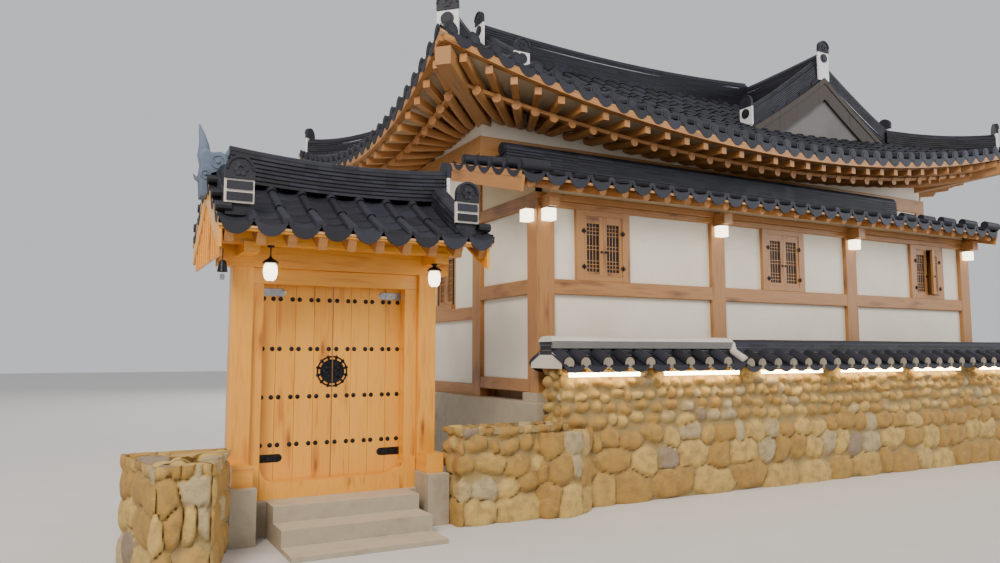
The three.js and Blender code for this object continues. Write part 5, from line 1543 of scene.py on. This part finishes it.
def dress_gate_frame():
    shape = Shape("gate_frame_timbers", HONEY, STEEL)
    left, right = GATE_POSTS[0] + GATE_POST_HALF, GATE_POSTS[1] - GATE_POST_HALF
    a, b = GATE_CENTRE - OPENING_HALF, GATE_CENTRE + OPENING_HALF
    front, back = GATE_BACK - FRAME_DEEP, GATE_BACK
    round_corner = 0.16
    turn = OPENING_LOW + round_corner
    shape.block(left, a, front, back, turn, OPENING_HIGH)
    shape.block(b, right, front, back, turn, OPENING_HIGH)
    shape.block(left, right, front, back, OPENING_HIGH, LINTEL_HIGH)
    corner = [-math.pi / 2 * (1 - t) for t in even(8)]
    x0 = b - round_corner
    arc_right = [(x0 + round_corner * math.cos(w), turn + round_corner * math.sin(w)) for w in corner]
    arc_left = [(a + b - x, z) for x, z in reversed(arc_right)]
    top = [Vector((x, front, z)) for x, z in (*arc_left, *arc_right)]
    bottom = [Vector((p.x, front, FRAME_FOOT)) for p in top]
    rear_top, rear_bottom = ([p + Vector((0, FRAME_DEEP, 0)) for p in row] for row in (top, bottom))
    for rows in ([bottom, top], [top, rear_top], [rear_top, rear_bottom]):
        shape.grid(rows, tone=SILL_TONE)
    for x0, x1 in ((left, a), (b, right)):
        shape.block(x0, x1, front, back, FRAME_FOOT, turn, SILL_TONE)
    shape.use(STEEL)
    for height in HINGE_HEIGHTS:
        for hand in (-1, 1):
            x = GATE_CENTRE + hand * HINGE_OUT
            shape.log((x, HINGE_Y, height - 0.06), (x, HINGE_Y, height - 0.001), PIN_RADIUS, 12)
            shape.block(x - 0.012, x + 0.012, back - 0.005, HINGE_Y, height - 0.06, height - 0.02)
    shape.make(replaces=["gate_frame"], slot="honey_pine", bevel=0.004)
    for name, x in zip(("left", "right"), GATE_POSTS):
        post = Shape(f"timber_gate_post_{name}", HONEY)
        post.block(x - GATE_POST_HALF, x + GATE_POST_HALF, GATE_FRONT, GATE_BACK, 0.6, LINTEL_HIGH)
        post.block(x - 0.09, x + 0.09, -0.5, -0.11, 0.49, 0.68)
        post.make(replaces=[f"gate_post_{name}"], slot="honey_pine", bevel=0.007)


def gate_top(x, y):
    t = 1 - abs(y - GATE_RIDGE_Y) / GATE_RUN
    s = (x - GATE_EAVE_LEFT) / (GATE_EAVE_RIGHT - GATE_EAVE_LEFT)
    lift = mix(GATE_EAVE_LIFT, GATE_RIDGE_LIFT, t) * (2 * s - 1) ** 2
    return GATE_EAVE_TOP + GATE_RISE * (0.8 * t + 0.2 * t * t) + lift


def gate_surface(hand):
    def surface(c, d):
        x = GATE_EAVE_LEFT + c if hand < 0 else GATE_EAVE_RIGHT - c
        y = GATE_RIDGE_Y + hand * (GATE_RUN - d)
        return Vector((x, y, gate_top(x, y) - SMALL_SEAT))

    return surface


def dress_gate_roof():
    width = GATE_EAVE_RIGHT - GATE_EAVE_LEFT
    for name, hand in (("gate_roof_front", -1), ("gate_roof_back", 1)):
        shape = Shape(f"tiles_{name}", TILE, CEILING)
        surface = gate_surface(hand)
        under = lowered(surface, GATE_THICK - SMALL_SEAT)
        region = Region(None, 0, width, level(0), level(GATE_RUN), True)
        shape.use(TILE)
        small_tiles(shape, region, surface, width / 9)
        shape.use(CEILING)
        for t0, t1 in zip(even(8), even(8)[1:]):
            across = (t0 * width, t1 * width)
            shape.grid([[under(c, d) for c in across] for d in (0.004, 0.3, 0.6, 0.85)], tone=UNDER_TONE)
        for c in (0, width):
            strip(shape, under, surface, [(c, d) for d in (0.004, 0.2, 0.4, 0.6, 0.85)])
        strip(shape, under, lowered(surface, EDGE_DROP), [(t * width, 0.004) for t in even(18)])
        shape.use(TILE)
        for c in (0, width):
            out = Vector((math.copysign(1, c - width / 2) * -hand, 0, 0))
            for i in range(3):
                depth = 0.14 + GATE_SIDE_TILE * i
                point = surface(c, depth)
                side = facing((surface(c, depth + 0.1) - point).normalized(), out)
                drop_tile(shape, point + UP * 0.03, side, out, 0.26, 0.06)
                end = point + UP * 0.05
                shape.log(end - out * 0.12, end + out * 0.012, 0.043, 10)
        shape.make(replaces=[name], slot="roof_tile")


def dress_gate_ridge():
    shape = Shape("courses_gate_ridge", TILE, MORTAR, LIME)
    start, end = GATE_EAVE_LEFT + 0.2, GATE_EAVE_RIGHT - 0.19
    crest = GATE_EAVE_TOP + GATE_RISE
    xs = [mix(start, end, t) for t in even(16)]
    lifts = [gate_top(x, GATE_RIDGE_Y) - crest for x in xs]
    tops = [crest + 1.4 * high + 0.29 for high in lifts]
    shape.use(TILE)
    line = [(x, GATE_RIDGE_Y) for x in xs]
    ridge_courses(shape, line, 0.22, [crest + high - 0.05 for high in lifts], tops, 0.06)
    end_tile(shape, line[-1], (1, 0), tops[-1] - 0.08, crest + lifts[-1] - 0.02, 0.11)
    for x in (GATE_EAVE_LEFT + 0.18, GATE_EAVE_RIGHT - 0.26):
        for hand in (-1, 1):
            run = [(x, GATE_RIDGE_Y + hand * mix(0.1, GATE_RUN - 0.13, t)) for t in even(6)]
            heights = [gate_top(*place) for place in run]
            shape.use(TILE)
            ridge_courses(shape, run, 0.22, [z - 0.03 for z in heights], [z + 0.175 for z in heights], 0.06)
            foot, z = run[-1], heights[-1]
            end_tile(shape, foot, (0, hand), z + 0.29, z + 0.07, GATE_END_HALF, True)
    shape.make(replaces=["gate_ridge"], slot="roof_tile")


def dress_gate_roof_frame():
    shape = Shape("gate_roof_timbers", HONEY, EAVES)
    left, right = -3.56, -1.27
    shape.block(left, right, GATE_FRONT, GATE_BACK, LINTEL_HIGH, GATE_BEAM_HIGH)
    purlins = ((-0.62, -0.5, 2.64, 2.76), (0.44, 0.56, 2.64, 2.76))
    ridge_beam = (-0.095, 0.035, 2.8, 3.145)
    for sides in (*purlins, ridge_beam):
        shape.block(GATE_EAVE_LEFT + 0.035, right, *sides)
    for x in GATE_POSTS:
        shape.block(x - 0.07, x + 0.07, -0.64, 0.58, 2.56, 2.66)
    for x in (GATE_POSTS[0], GATE_CENTRE, GATE_POSTS[1]):
        shape.block(x - 0.06, x + 0.06, -0.09, 0.02, 2.6, 2.9)
    shape.use(EAVES)
    for i in range(10):
        x = mix(GATE_EAVE_LEFT + 0.1, GATE_EAVE_RIGHT - 0.1, i / 9)
        for hand in (-1, 1):
            ends = []
            for d in (GATE_RUN - 0.06, 0.02):
                y = GATE_RIDGE_Y + hand * d
                ends.append((x, y, gate_top(x, y) - GATE_THICK - 0.098))
            shape.beam(*ends, 0.08, 0.135)
    shape.use(HONEY)
    for hand in (-1, 1):
        stations = []
        for s in even(16):
            x = mix(GATE_EAVE_LEFT + 0.02, GATE_EAVE_RIGHT - 0.02, s)
            y = GATE_RIDGE_Y + hand * (GATE_RUN - 0.055)
            stations.append((Vector((x, y, gate_top(x, y) - GATE_THICK - 0.024)), Vector((0, 1, 0)), UP))
        shape.sweep(stations, oblong(0.035, -0.022, 0.022))
    for hand in (-1, 1):
        for x, low in ((GATE_EAVE_LEFT + 0.02, -0.1), (GATE_EAVE_RIGHT - 0.055, -0.17)):
            stations = []
            for s in even(6):
                y = GATE_RIDGE_Y + hand * mix(0, 0.82, s)
                stations.append((Vector((x, y, gate_top(x, y) - GATE_THICK - 0.09)), Vector((1, 0, 0)), UP))
            shape.sweep(stations, oblong(0.015, low, 0.088))
    x, boards = GATE_EAVE_LEFT + 0.027, 11
    for i in range(boards):
        near, far = (GATE_RIDGE_Y + mix(-0.8, 0.8, (i + end) / boards) for end in (0, 1))
        high = gate_top(x, (near + far) / 2) - GATE_THICK - 0.05
        shape.block(x, x + 0.02, near + 0.001, far - 0.001, GABLE_BOARD_LOW, high)
        if i:
            high = gate_top(x, near) - GATE_THICK - 0.12
            shape.block(x - 0.012, x, near - 0.014, near + 0.014, GABLE_BOARD_LOW, high)
    shape.make(replaces=["gate_roof_frame"], slot="honey_pine", bevel=0.003)


def lathe(shape, x, y, outline, sides=24, flute=0.0):
    """Turns an outline of (radius, height) round an upright line. A flute makes eight soft ribs."""
    rows = []
    for radius, z in outline:
        ring = []
        for a in range(sides):
            angle = 2 * math.pi * a / sides
            reach = radius * (1 + flute * math.cos(8 * angle))
            ring.append(Vector((x + reach * math.cos(angle), y + reach * math.sin(angle), z)))
        rows.append(ring)
    shape.grid(rows, closed=True)


LANTERN_GLOBE = [
    (0.012, 2.2475), (0.03, 2.25), (0.05, 2.27), (0.061, 2.31), (0.063, 2.35), (0.056, 2.39), (0.04, 2.41),
]
LANTERN_CAP = [
    (0.04, 2.405), (0.07, 2.41), (0.074, 2.416), (0.05, 2.435), (0.018, 2.455), (0.012, 2.47), (0.001, 2.472),
]
LANTERN_FOOT = [(0.001, 2.246), (0.018, 2.2465), (0.02, 2.256), (0.012, 2.26)]
BELL = [
    (0.001, 2.46), (0.02, 2.458), (0.032, 2.44), (0.037, 2.4), (0.045, 2.36), (0.041, 2.36), (0.03, 2.43),
]


def dress_gate_lamps():
    y = -0.56
    for name, x, up, rod in (("left", -3.155, 0.07, 2.642), ("right", -1.545, 0.08, 2.562)):
        shape = Shape(f"glowing_lantern_{name}", LAMP_GLOW, IRON)
        lathe(shape.use(LAMP_GLOW), x, y, [(r, z + up) for r, z in LANTERN_GLOBE], 32, 0.03)
        for outline in (LANTERN_CAP, LANTERN_FOOT):
            lathe(shape.use(IRON), x, y, [(r, z + up) for r, z in outline])
        shape.log((x, y, 2.46 + up), (x, y, rod), 0.006, 8)
        rose = [(0.001, -0.02), (0.03, -0.018), (0.032, -0.002), (0.001, -0.001)]
        lathe(shape, x, y, [(r, rod + z) for r, z in rose])
        shape.make(replaces=[f"lantern_{name}"], slot="lantern_paper")
    bell = Shape("wind_bell", IRON, STEEL)
    x, y = -3.6, -0.78
    bell.use(IRON)
    lathe(bell, x, y, BELL, 20)
    bell.log((x, y, 2.455), (x, y, 2.56), 0.004, 6)
    bell.use(STEEL).block(x - 0.02, x + 0.02, y - 0.001, y + 0.001, 2.29, 2.34)
    bell.log((x, y, 2.335), (x, y, 2.44), 0.002, 6)
    bell.make(slot="lantern_paper")


def dress_ornament():
    """A horned ridge end of bare clay, tinted blue-grey as painted cool light, with a curl on each face."""
    shape = Shape("horned_ridge_end", ORNAMENT)
    outline = [
        (-3.72, 3.11), (-3.665, 3.11), (-3.655, 3.22), (-3.645, 3.33), (-3.56, 3.365), (-3.48, 3.37),
        (-3.462, 3.44), (-3.475, 3.53), (-3.54, 3.57), (-3.62, 3.555), (-3.69, 3.60), (-3.745, 3.54),
        (-3.72, 3.43), (-3.735, 3.33), (-3.725, 3.21),
    ]
    rows = []
    for y, grow in ((-0.125, 0.8), (-0.11, 0.93), (-0.08, 1.0), (0.02, 1.0), (0.05, 0.93), (0.065, 0.8)):
        rows.append([Vector((mix(-3.62, x, grow), y, mix(3.39, z, grow))) for x, z in outline])
    shape.grid(rows, EVEN_TONE, closed=True)
    for row, step in ((rows[0], 1), (rows[-1], -1)):
        shape.face(row[::step], [(p.x, p.z) for p in row], EVEN_TONE)
    for steps in (
        [(-3.685, 3.54, 0.06), (-3.69, 3.64, 0.045), (-3.71, 3.73, 0.03), (-3.735, 3.82, 0.008)],
        [(-3.50, 3.52, 0.04), (-3.47, 3.57, 0.03), (-3.455, 3.63, 0.006)],
        [(-3.70, 3.27, 0.035), (-3.74, 3.29, 0.025), (-3.775, 3.34, 0.006)],
    ):
        rows = [[Vector((x + a, b - 0.03, z)) for a, b in circle(r, 10)] for x, z, r in steps]
        shape.grid(rows, EVEN_TONE, closed=True)
    for face, hand in ((-0.121, -1), (0.063, 1)):
        for x, z, radius in ((-3.57, 3.46, 0.062), (-3.68, 3.33, 0.04)):
            curl = circle(radius, 16)
            ring = [Vector((x + s, face, z + u)) for s, u in (*curl, curl[0])]
            hoop(shape, ring, Vector((0, 1, 0)), 0.014)
            dome(shape, x, face, z, radius * 0.45, 0.02, hand)
    shape.make(replaces=["gate_ridge_ornament"], slot="roof_tile", smooth=60)


# Stone walls

WALL_LEFT, WALL_RIGHT = -0.12, 10.2
WALL_FACE, WALL_REAR = -0.63, -0.23
WALL_TOP = 1.5
JOINT_DEPTH = 0.06
STONE_STEP = 0.026


def rounded_outline(x0, x1, y0, y1, corner):
    """Places and outward directions round a rectangle with rounded corners."""
    places = []
    step = STONE_STEP
    turns = [
        (x1 - corner, y0 + corner, -math.pi / 2),
        (x1 - corner, y1 - corner, 0),
        (x0 + corner, y1 - corner, math.pi / 2),
        (x0 + corner, y0 + corner, math.pi),
    ]
    count = max(2, round(corner * math.pi / 2 / step))
    for i, (cx, cy, start) in enumerate(turns):
        for t in even(count):
            w = start + t * math.pi / 2
            out = Vector((math.cos(w), math.sin(w), 0))
            places.append((Vector((cx, cy, 0)) + out * corner, out))
        next_x, next_y, next_start = turns[(i + 1) % 4]
        out = Vector((math.cos(next_start), math.sin(next_start), 0))
        ahead = Vector((next_x, next_y, 0)) + out * corner
        behind = places[-1][0]
        parts = max(1, round((ahead - behind).length / step))
        for k in range(1, parts):
            places.append((behind.lerp(ahead, k / parts), out))
    return places


class StoneField:
    """Stones in loose courses over a sheet of (along, up). A course is (height, room):
    the stones fill their places where room is over 1, and stand apart in mortar below it."""

    def __init__(self, length, courses, rng):
        self.length = length
        self.rows = []
        z = -0.05
        for high, room in courses:
            stones = []
            s = 0.0
            while s < length:
                wide = high * rng.uniform(0.75, 1.8)
                if s + wide * 1.5 > length:
                    wide = length - s
                lift = rng.uniform(-0.2, 0.2) * high
                slant = rng.uniform(-0.4, 0.4)
                size = (wide / 2 * room, high / 2 * room * rng.uniform(0.85, 1.12))
                stones.append((s + wide / 2, z + high / 2 + lift, *size, slant, rng.random(), rng.random()))
                s += wide
            self.rows.append((z - high * 0.6, z + high * 1.6, room, stones))
            z += high

    def look(self, s, z):
        """How high the stone stands here, its tone and hue, and how much of this is mortar."""
        best, second, stone, filled = 9.0, 9.0, None, 1.0
        for low, high, room, stones in self.rows:
            if not low < z < high:
                continue
            for one in stones:
                away = s - one[0]
                if abs(away) > self.length / 2:
                    away -= math.copysign(self.length, away)
                if abs(away) > one[2] * 2.4:
                    continue
                up = z - one[1]
                r = math.hypot((away + up * one[4]) / one[2], (up - away * one[4] * 0.5) / one[3])
                if r < best:
                    best, second, stone, filled = r, best, one, room
                elif r < second:
                    second = r
        if stone is None:
            return 0, 0.5, 0.5, 1
        # The edge is 0 in the middle of a joint. Where stones stand apart, reach is their rim.
        edge = clamp((second - best) / 0.7, 0, 1)
        joint = 1 - clamp((edge - 0.06) / 0.1, 0, 1)
        swell = math.sqrt(clamp((edge - 0.04) / 0.55, 0, 1)) * (1 - 0.12 * best * best)
        reach, power = (0.94, 2) if filled < 1 else (1.04, 4)
        joint = max(joint, clamp((best - reach) / 0.12, 0, 1))
        swell = min(swell, math.sqrt(clamp(1 - (best / (reach + 0.06)) ** power, 0, 1)))
        return clamp(swell, 0, 1), stone[5], stone[6], joint


def stone_block(shape, looks, box, corner, field, seed, plan=None):
    """A wall of stones whose outermost points lie on its box, or on the plan the box turns into."""
    x0, x1, y0, y1, z0, z1 = box
    step = STONE_STEP
    outline = rounded_outline(x0, x1, y0, y1, corner)
    lengths = distances([place for place, out in outline])
    scale = field.length / (lengths[-1] + step)
    half = min(x1 - x0, y1 - y0) / 2 - 0.001
    levels = [(0.0, mix(z0, z1, t), 0.0) for t in even(round((z1 - z0) / step))]
    levels += [(0.02, z1, 0.7), *[(mix(0.04, half, t), z1, 1.0) for t in even(max(2, round(half / step)))]]
    rows = []
    for inset, z, upward in levels:
        row = []
        for (place, out), s in zip(outline, lengths):
            around = s * scale
            height = z - z0 + inset
            warp = noise.noise(Vector((around * 5, height * 5, seed))) * 0.035
            high, tone, hue, joint = field.look((around + warp) % field.length, height + warp)
            rough = noise.noise(Vector((around * 14, height * 14, seed + 3))) * 0.006
            deep = JOINT_DEPTH * (1 - high) + 0.006 + rough
            point = place - out * (inset if upward else 0)
            x, y = clamp(point.x, x0 + inset, x1 - inset), clamp(point.y, y0 + inset, y1 - inset)
            point = Vector((x, y, z)) - (out * (1 - upward) + UP * upward) * deep
            row.append(plan(point) if plan else point)
            looks["tone"].append(tone)
            looks["hue"].append(hue)
            looks["joint"].append(joint)
        rows.append(row)
    shape.grid(rows, EVEN_TONE, closed=True)


PIER_LEFT, PIER_RIGHT, PIER_FRONT, PIER_REAR = -4.33, -3.45, -1.5, -0.5


def pier_plan(point):
    """The pier is narrow towards the street and widens back to the gate."""
    back = point.y - PIER_FRONT
    left, right = mix(-4.13, PIER_LEFT, back), mix(-3.70, PIER_RIGHT, min(1, back / 0.86))
    across = (point.x - PIER_LEFT) / (PIER_RIGHT - PIER_LEFT)
    return Vector((mix(left, right, across), point.y, point.z))


def bulge_plan(point):
    """The bulge sinks back towards the street wall at its right end."""
    back = 1 - 0.7 * clamp((point.x + 0.2) / 0.45, 0, 1) ** 1.5
    y = point.y if point.y > WALL_FACE else WALL_FACE + (point.y - WALL_FACE) * back
    return Vector((point.x, y, point.z))


SMALL_STONES = [
    (0.15, 0.82), (0.12, 0.86), (0.14, 0.78), (0.13, 0.84), (0.12, 0.8), (0.14, 0.84), (0.12, 0.8),
    (0.14, 0.84),
]


def dress_stone_walls():
    rng = random.Random(4)
    looks = {"tone": [], "hue": [], "joint": []}
    shape = Shape("boulders_street_wall", BOULDER)
    field = StoneField(21.6, [(0.36, 1.1), (0.3, 1.1), (0.22, 1.05), (0.16, 0.9), *SMALL_STONES], rng)
    box = (WALL_LEFT, WALL_RIGHT, WALL_FACE, WALL_REAR, 0, WALL_TOP)
    stone_block(shape, looks, box, 0.05, field, 1)
    link = StoneField(3.2, [(0.3, 1.1), (0.22, 1.0), (0.2, 1.0), (0.17, 0.95), *SMALL_STONES], rng)
    stone_block(shape, looks, (-1.381, -0.08, -0.82, -0.33, 0, 0.93), 0.08, link, 2)
    bulge = StoneField(2.8, [(0.36, 1.1), *[(0.3, 1.1)] * 4], rng)
    stone_block(shape, looks, (-0.52, 0.30, -0.93, -0.4, 0, 0.86), 0.25, bulge, 3, bulge_plan)
    shape.make(replaces=["street_wall"], slot="boulder_stone", smooth=60, attributes=looks)
    looks = {"tone": [], "hue": [], "joint": []}
    shape = Shape("boulders_gate_side_wall", BOULDER)
    pier = StoneField(3.7, [(high, 1.1) for high in (0.3, 0.26, 0.24, 0.14, 0.3, 0.3)], rng)
    box = (PIER_LEFT, PIER_RIGHT, PIER_FRONT, PIER_REAR, 0, 0.85)
    stone_block(shape, looks, box, 0.07, pier, 4, pier_plan)
    shape.make(replaces=["gate_side_wall"], slot="boulder_stone", smooth=60, attributes=looks)


COPING_PITCH = 0.28
COPING_MIDDLE = (WALL_FACE + WALL_REAR) / 2
COPING_STEP = 2.49  # here the raised part of the coping ends
FIRST_COVER = 0.08


def coping_surface(x0, raised, hand):
    """The slope of the coping from its edge in to its ridge, along x from x0."""

    def surface(c, d):
        t = d / 0.24
        return Vector((x0 + c, COPING_MIDDLE + hand * (0.35 - d), WALL_TOP + 0.03 + raised + 0.12 * t))

    return surface


def coping_tiles(shape, x0, x1, raised):
    length = x1 - x0
    count = round(length / COPING_PITCH)
    pitch = length / count
    region = Region(None, 0, length, level(0), level(0.25), True)
    for hand in (-1, 1):
        surface = coping_surface(x0, raised, hand)
        out = Vector((0, hand, 0))
        side = facing(Vector((1, 0, 0)), out)
        shape.use(TILE)
        for i in range(count):
            c = (i + 0.5) * pitch
            seam = max(FIRST_COVER, i * pitch)
            pans(shape, region, surface, c - pitch / 2, c + pitch / 2)
            covers(shape, region, surface, seam)
            shape.use(TILE_END)
            end_disc(shape, surface(seam, 0), side, out, 0.062)
            shape.use(TILE)
            drop_tile(shape, surface(c, 0), side, out, pitch, 0.03)


def coping_part(shape, x0, x1, raised):
    """One height of the coping: its tiles, its underside, its ridge and its two ends."""
    coping_tiles(shape, x0, x1, raised)
    z = WALL_TOP + 0.002
    under = [[(x, COPING_MIDDLE + s, z) for x in (x0, x1)] for s in (-0.34, 0.34)]
    shape.use(CEILING).grid(under, tone=0.2)

    def course(a, b, half, base, top, tone=None):
        shape.block(a, b, COPING_MIDDLE - half, COPING_MIDDLE + half, base, top, tone)

    low, high = WALL_TOP + raised + 0.13, WALL_TOP + raised + 0.30
    shape.use(TILE)
    places = [mix(x0, x1, t) for t in even(max(2, round((x1 - x0) / 0.3)))]
    for half, base, top in ((0.12, 0, 0.045), (0.11, 0.052, 0.1), (0.122, 0.107, 0.15)):
        for a, b in zip(places, places[1:]):
            course(a + 0.001, b - 0.001, half, low + base, low + top)
    shape.use(MORTAR)
    course(x0 + 0.01, x1 - 0.01, 0.1, low - 0.05, low + 0.145, EVEN_TONE)
    rows = []
    for x in places:
        seat = high - 0.025 + 0.006 * noise.noise(Vector((x * 1.7, 0, 0)))
        crown = arch(0.15 if raised else 0.115, 0.062, 8)
        rows.append([Vector((x, COPING_MIDDLE + s, seat + u)) for s, u in crown])
    # Painted shade: a band of grey plaster under the raised crown stands for the shade on the crown's lower
    # side.
    if raised:
        shape.use(GREY_PLASTER)
        course(x0 + 0.004, x1 - 0.004, 0.15, high - 0.1, high - 0.02, EVEN_TONE)
    ends = MORTAR if raised else TILE
    shape.use(ends).grid(rows)
    for row in (rows[0], rows[-1]):
        shape.face(row, [(p.y, p.z) for p in row])
    knee, top = 0.06 + raised, 0.17 + raised
    outline = [(-0.32, 0.0), (0.32, 0.0), (0.32, knee), (0.1, top), (-0.1, top), (-0.32, knee)]
    for x in (x0 + 0.004, x1 - 0.004):
        shape.face([Vector((x, COPING_MIDDLE + s, WALL_TOP + u)) for s, u in outline], outline)


def dress_coping():
    shape = Shape("tiles_street_wall_coping", TILE, TILE_END, MORTAR, CEILING, GREY_PLASTER)
    coping_part(shape, WALL_LEFT - 0.04, COPING_STEP - 0.002, 0.02)
    coping_part(shape, COPING_STEP, WALL_RIGHT, 0.0)
    shape.use(MORTAR)
    for hand in (-1, 1):
        steps = [(0.1, 0.285), (0.13, 0.19), (0.33, 0.085)]
        top, knee, foot = (Vector((COPING_STEP, COPING_MIDDLE + hand * s, WALL_TOP + u)) for s, u in steps)
        shape.log(top, knee, 0.05, 10, EVEN_TONE)
        shape.log(knee, foot, 0.045, 10, EVEN_TONE)
    shape.make(replaces=["street_wall_coping"], slot="roof_tile")


def dress_cad_nodes():
    """Finishes for the solids that stay in sight."""
    finishes = {
        "house_terrace": GRANITE,
        "gate_base": GRANITE,
        "gate_steps": GRANITE,
        "house_floor": FLOOR_BOARDS,
        "lean_to_left_wall": CREAM,
        "lean_to_right_wall": CREAM,
    }
    for name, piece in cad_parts.items():
        piece.data.materials.clear()
        piece.data.materials.append(finishes.get(name, TILE))


dress_main_roof()
dress_ridges()
dress_gables()
dress_eaves()
dress_main_frame()
dress_side_walls()
dress_lean_to_frame()
dress_street_windows()
dress_lean_to_roof()
dress_lean_to_rafters()
dress_street_plaster()
dress_lamps()
dress_gate_leaf("gate_door_left", -1)
dress_gate_leaf("gate_door_right", 1)
dress_gate_frame()
dress_gate_roof()
dress_gate_ridge()
dress_gate_roof_frame()
dress_gate_lamps()
dress_ornament()
dress_stone_walls()
dress_coping()
dress_cad_nodes()

# Studio


def look_through_the_photograph():
    data = bpy.data.cameras.new("camera")
    data.lens = 27.72
    data.sensor_width = 36
    camera = bpy.data.objects.new("camera", data)
    camera.location = Vector((-4.62, -7.63, 1.68)) + ORIGIN
    camera.rotation_euler = (math.radians(95.23), 0, math.radians(-28.4))
    bpy.context.collection.objects.link(camera)
    bpy.context.scene.camera = camera


def light(name, place, aim, size, power, color):
    data = bpy.data.lights.new(name, "AREA")
    data.shape = "DISK"
    data.size = size
    data.energy = power
    data.color = color
    lamp = bpy.data.objects.new(name, data)
    lamp.location = place
    lamp.rotation_mode = "QUATERNION"
    lamp.rotation_quaternion = (Vector(aim) - Vector(place)).to_track_quat("-Z", "Y")
    bpy.context.collection.objects.link(lamp)


def studio():
    world = bpy.data.worlds.new("studio")
    world.use_nodes = True
    background = world.node_tree.nodes["Background"].inputs
    background["Color"].default_value = (0.88, 0.89, 0.92, 1)
    background["Strength"].default_value = 0.75
    bpy.context.scene.world = world
    light("key", (-16, -18, 15), (0, 0, 3), 9, 5200, (1.0, 0.90, 0.78))
    light("fill", (16, -16, 8), (0, 0, 2), 10, 1700, (0.92, 0.95, 1.0))
    light("rear", (4, 18, 14), (0, 0, 3), 10, 2600, (1.0, 0.97, 0.93))
    floor = bpy.data.meshes.new("floor")
    floor.from_pydata([(s, u, 0) for s, u in oblong(60, -60, 60)], [], [[0, 1, 2, 3]])
    ground = bpy.data.objects.new("floor", floor)
    ground.location.z = -0.002
    floor.materials.append(plain("pale_floor", (0.60, 0.59, 0.57), 0.97, 0.9, scale=2))
    bpy.context.collection.objects.link(ground)


look_through_the_photograph()
studio()
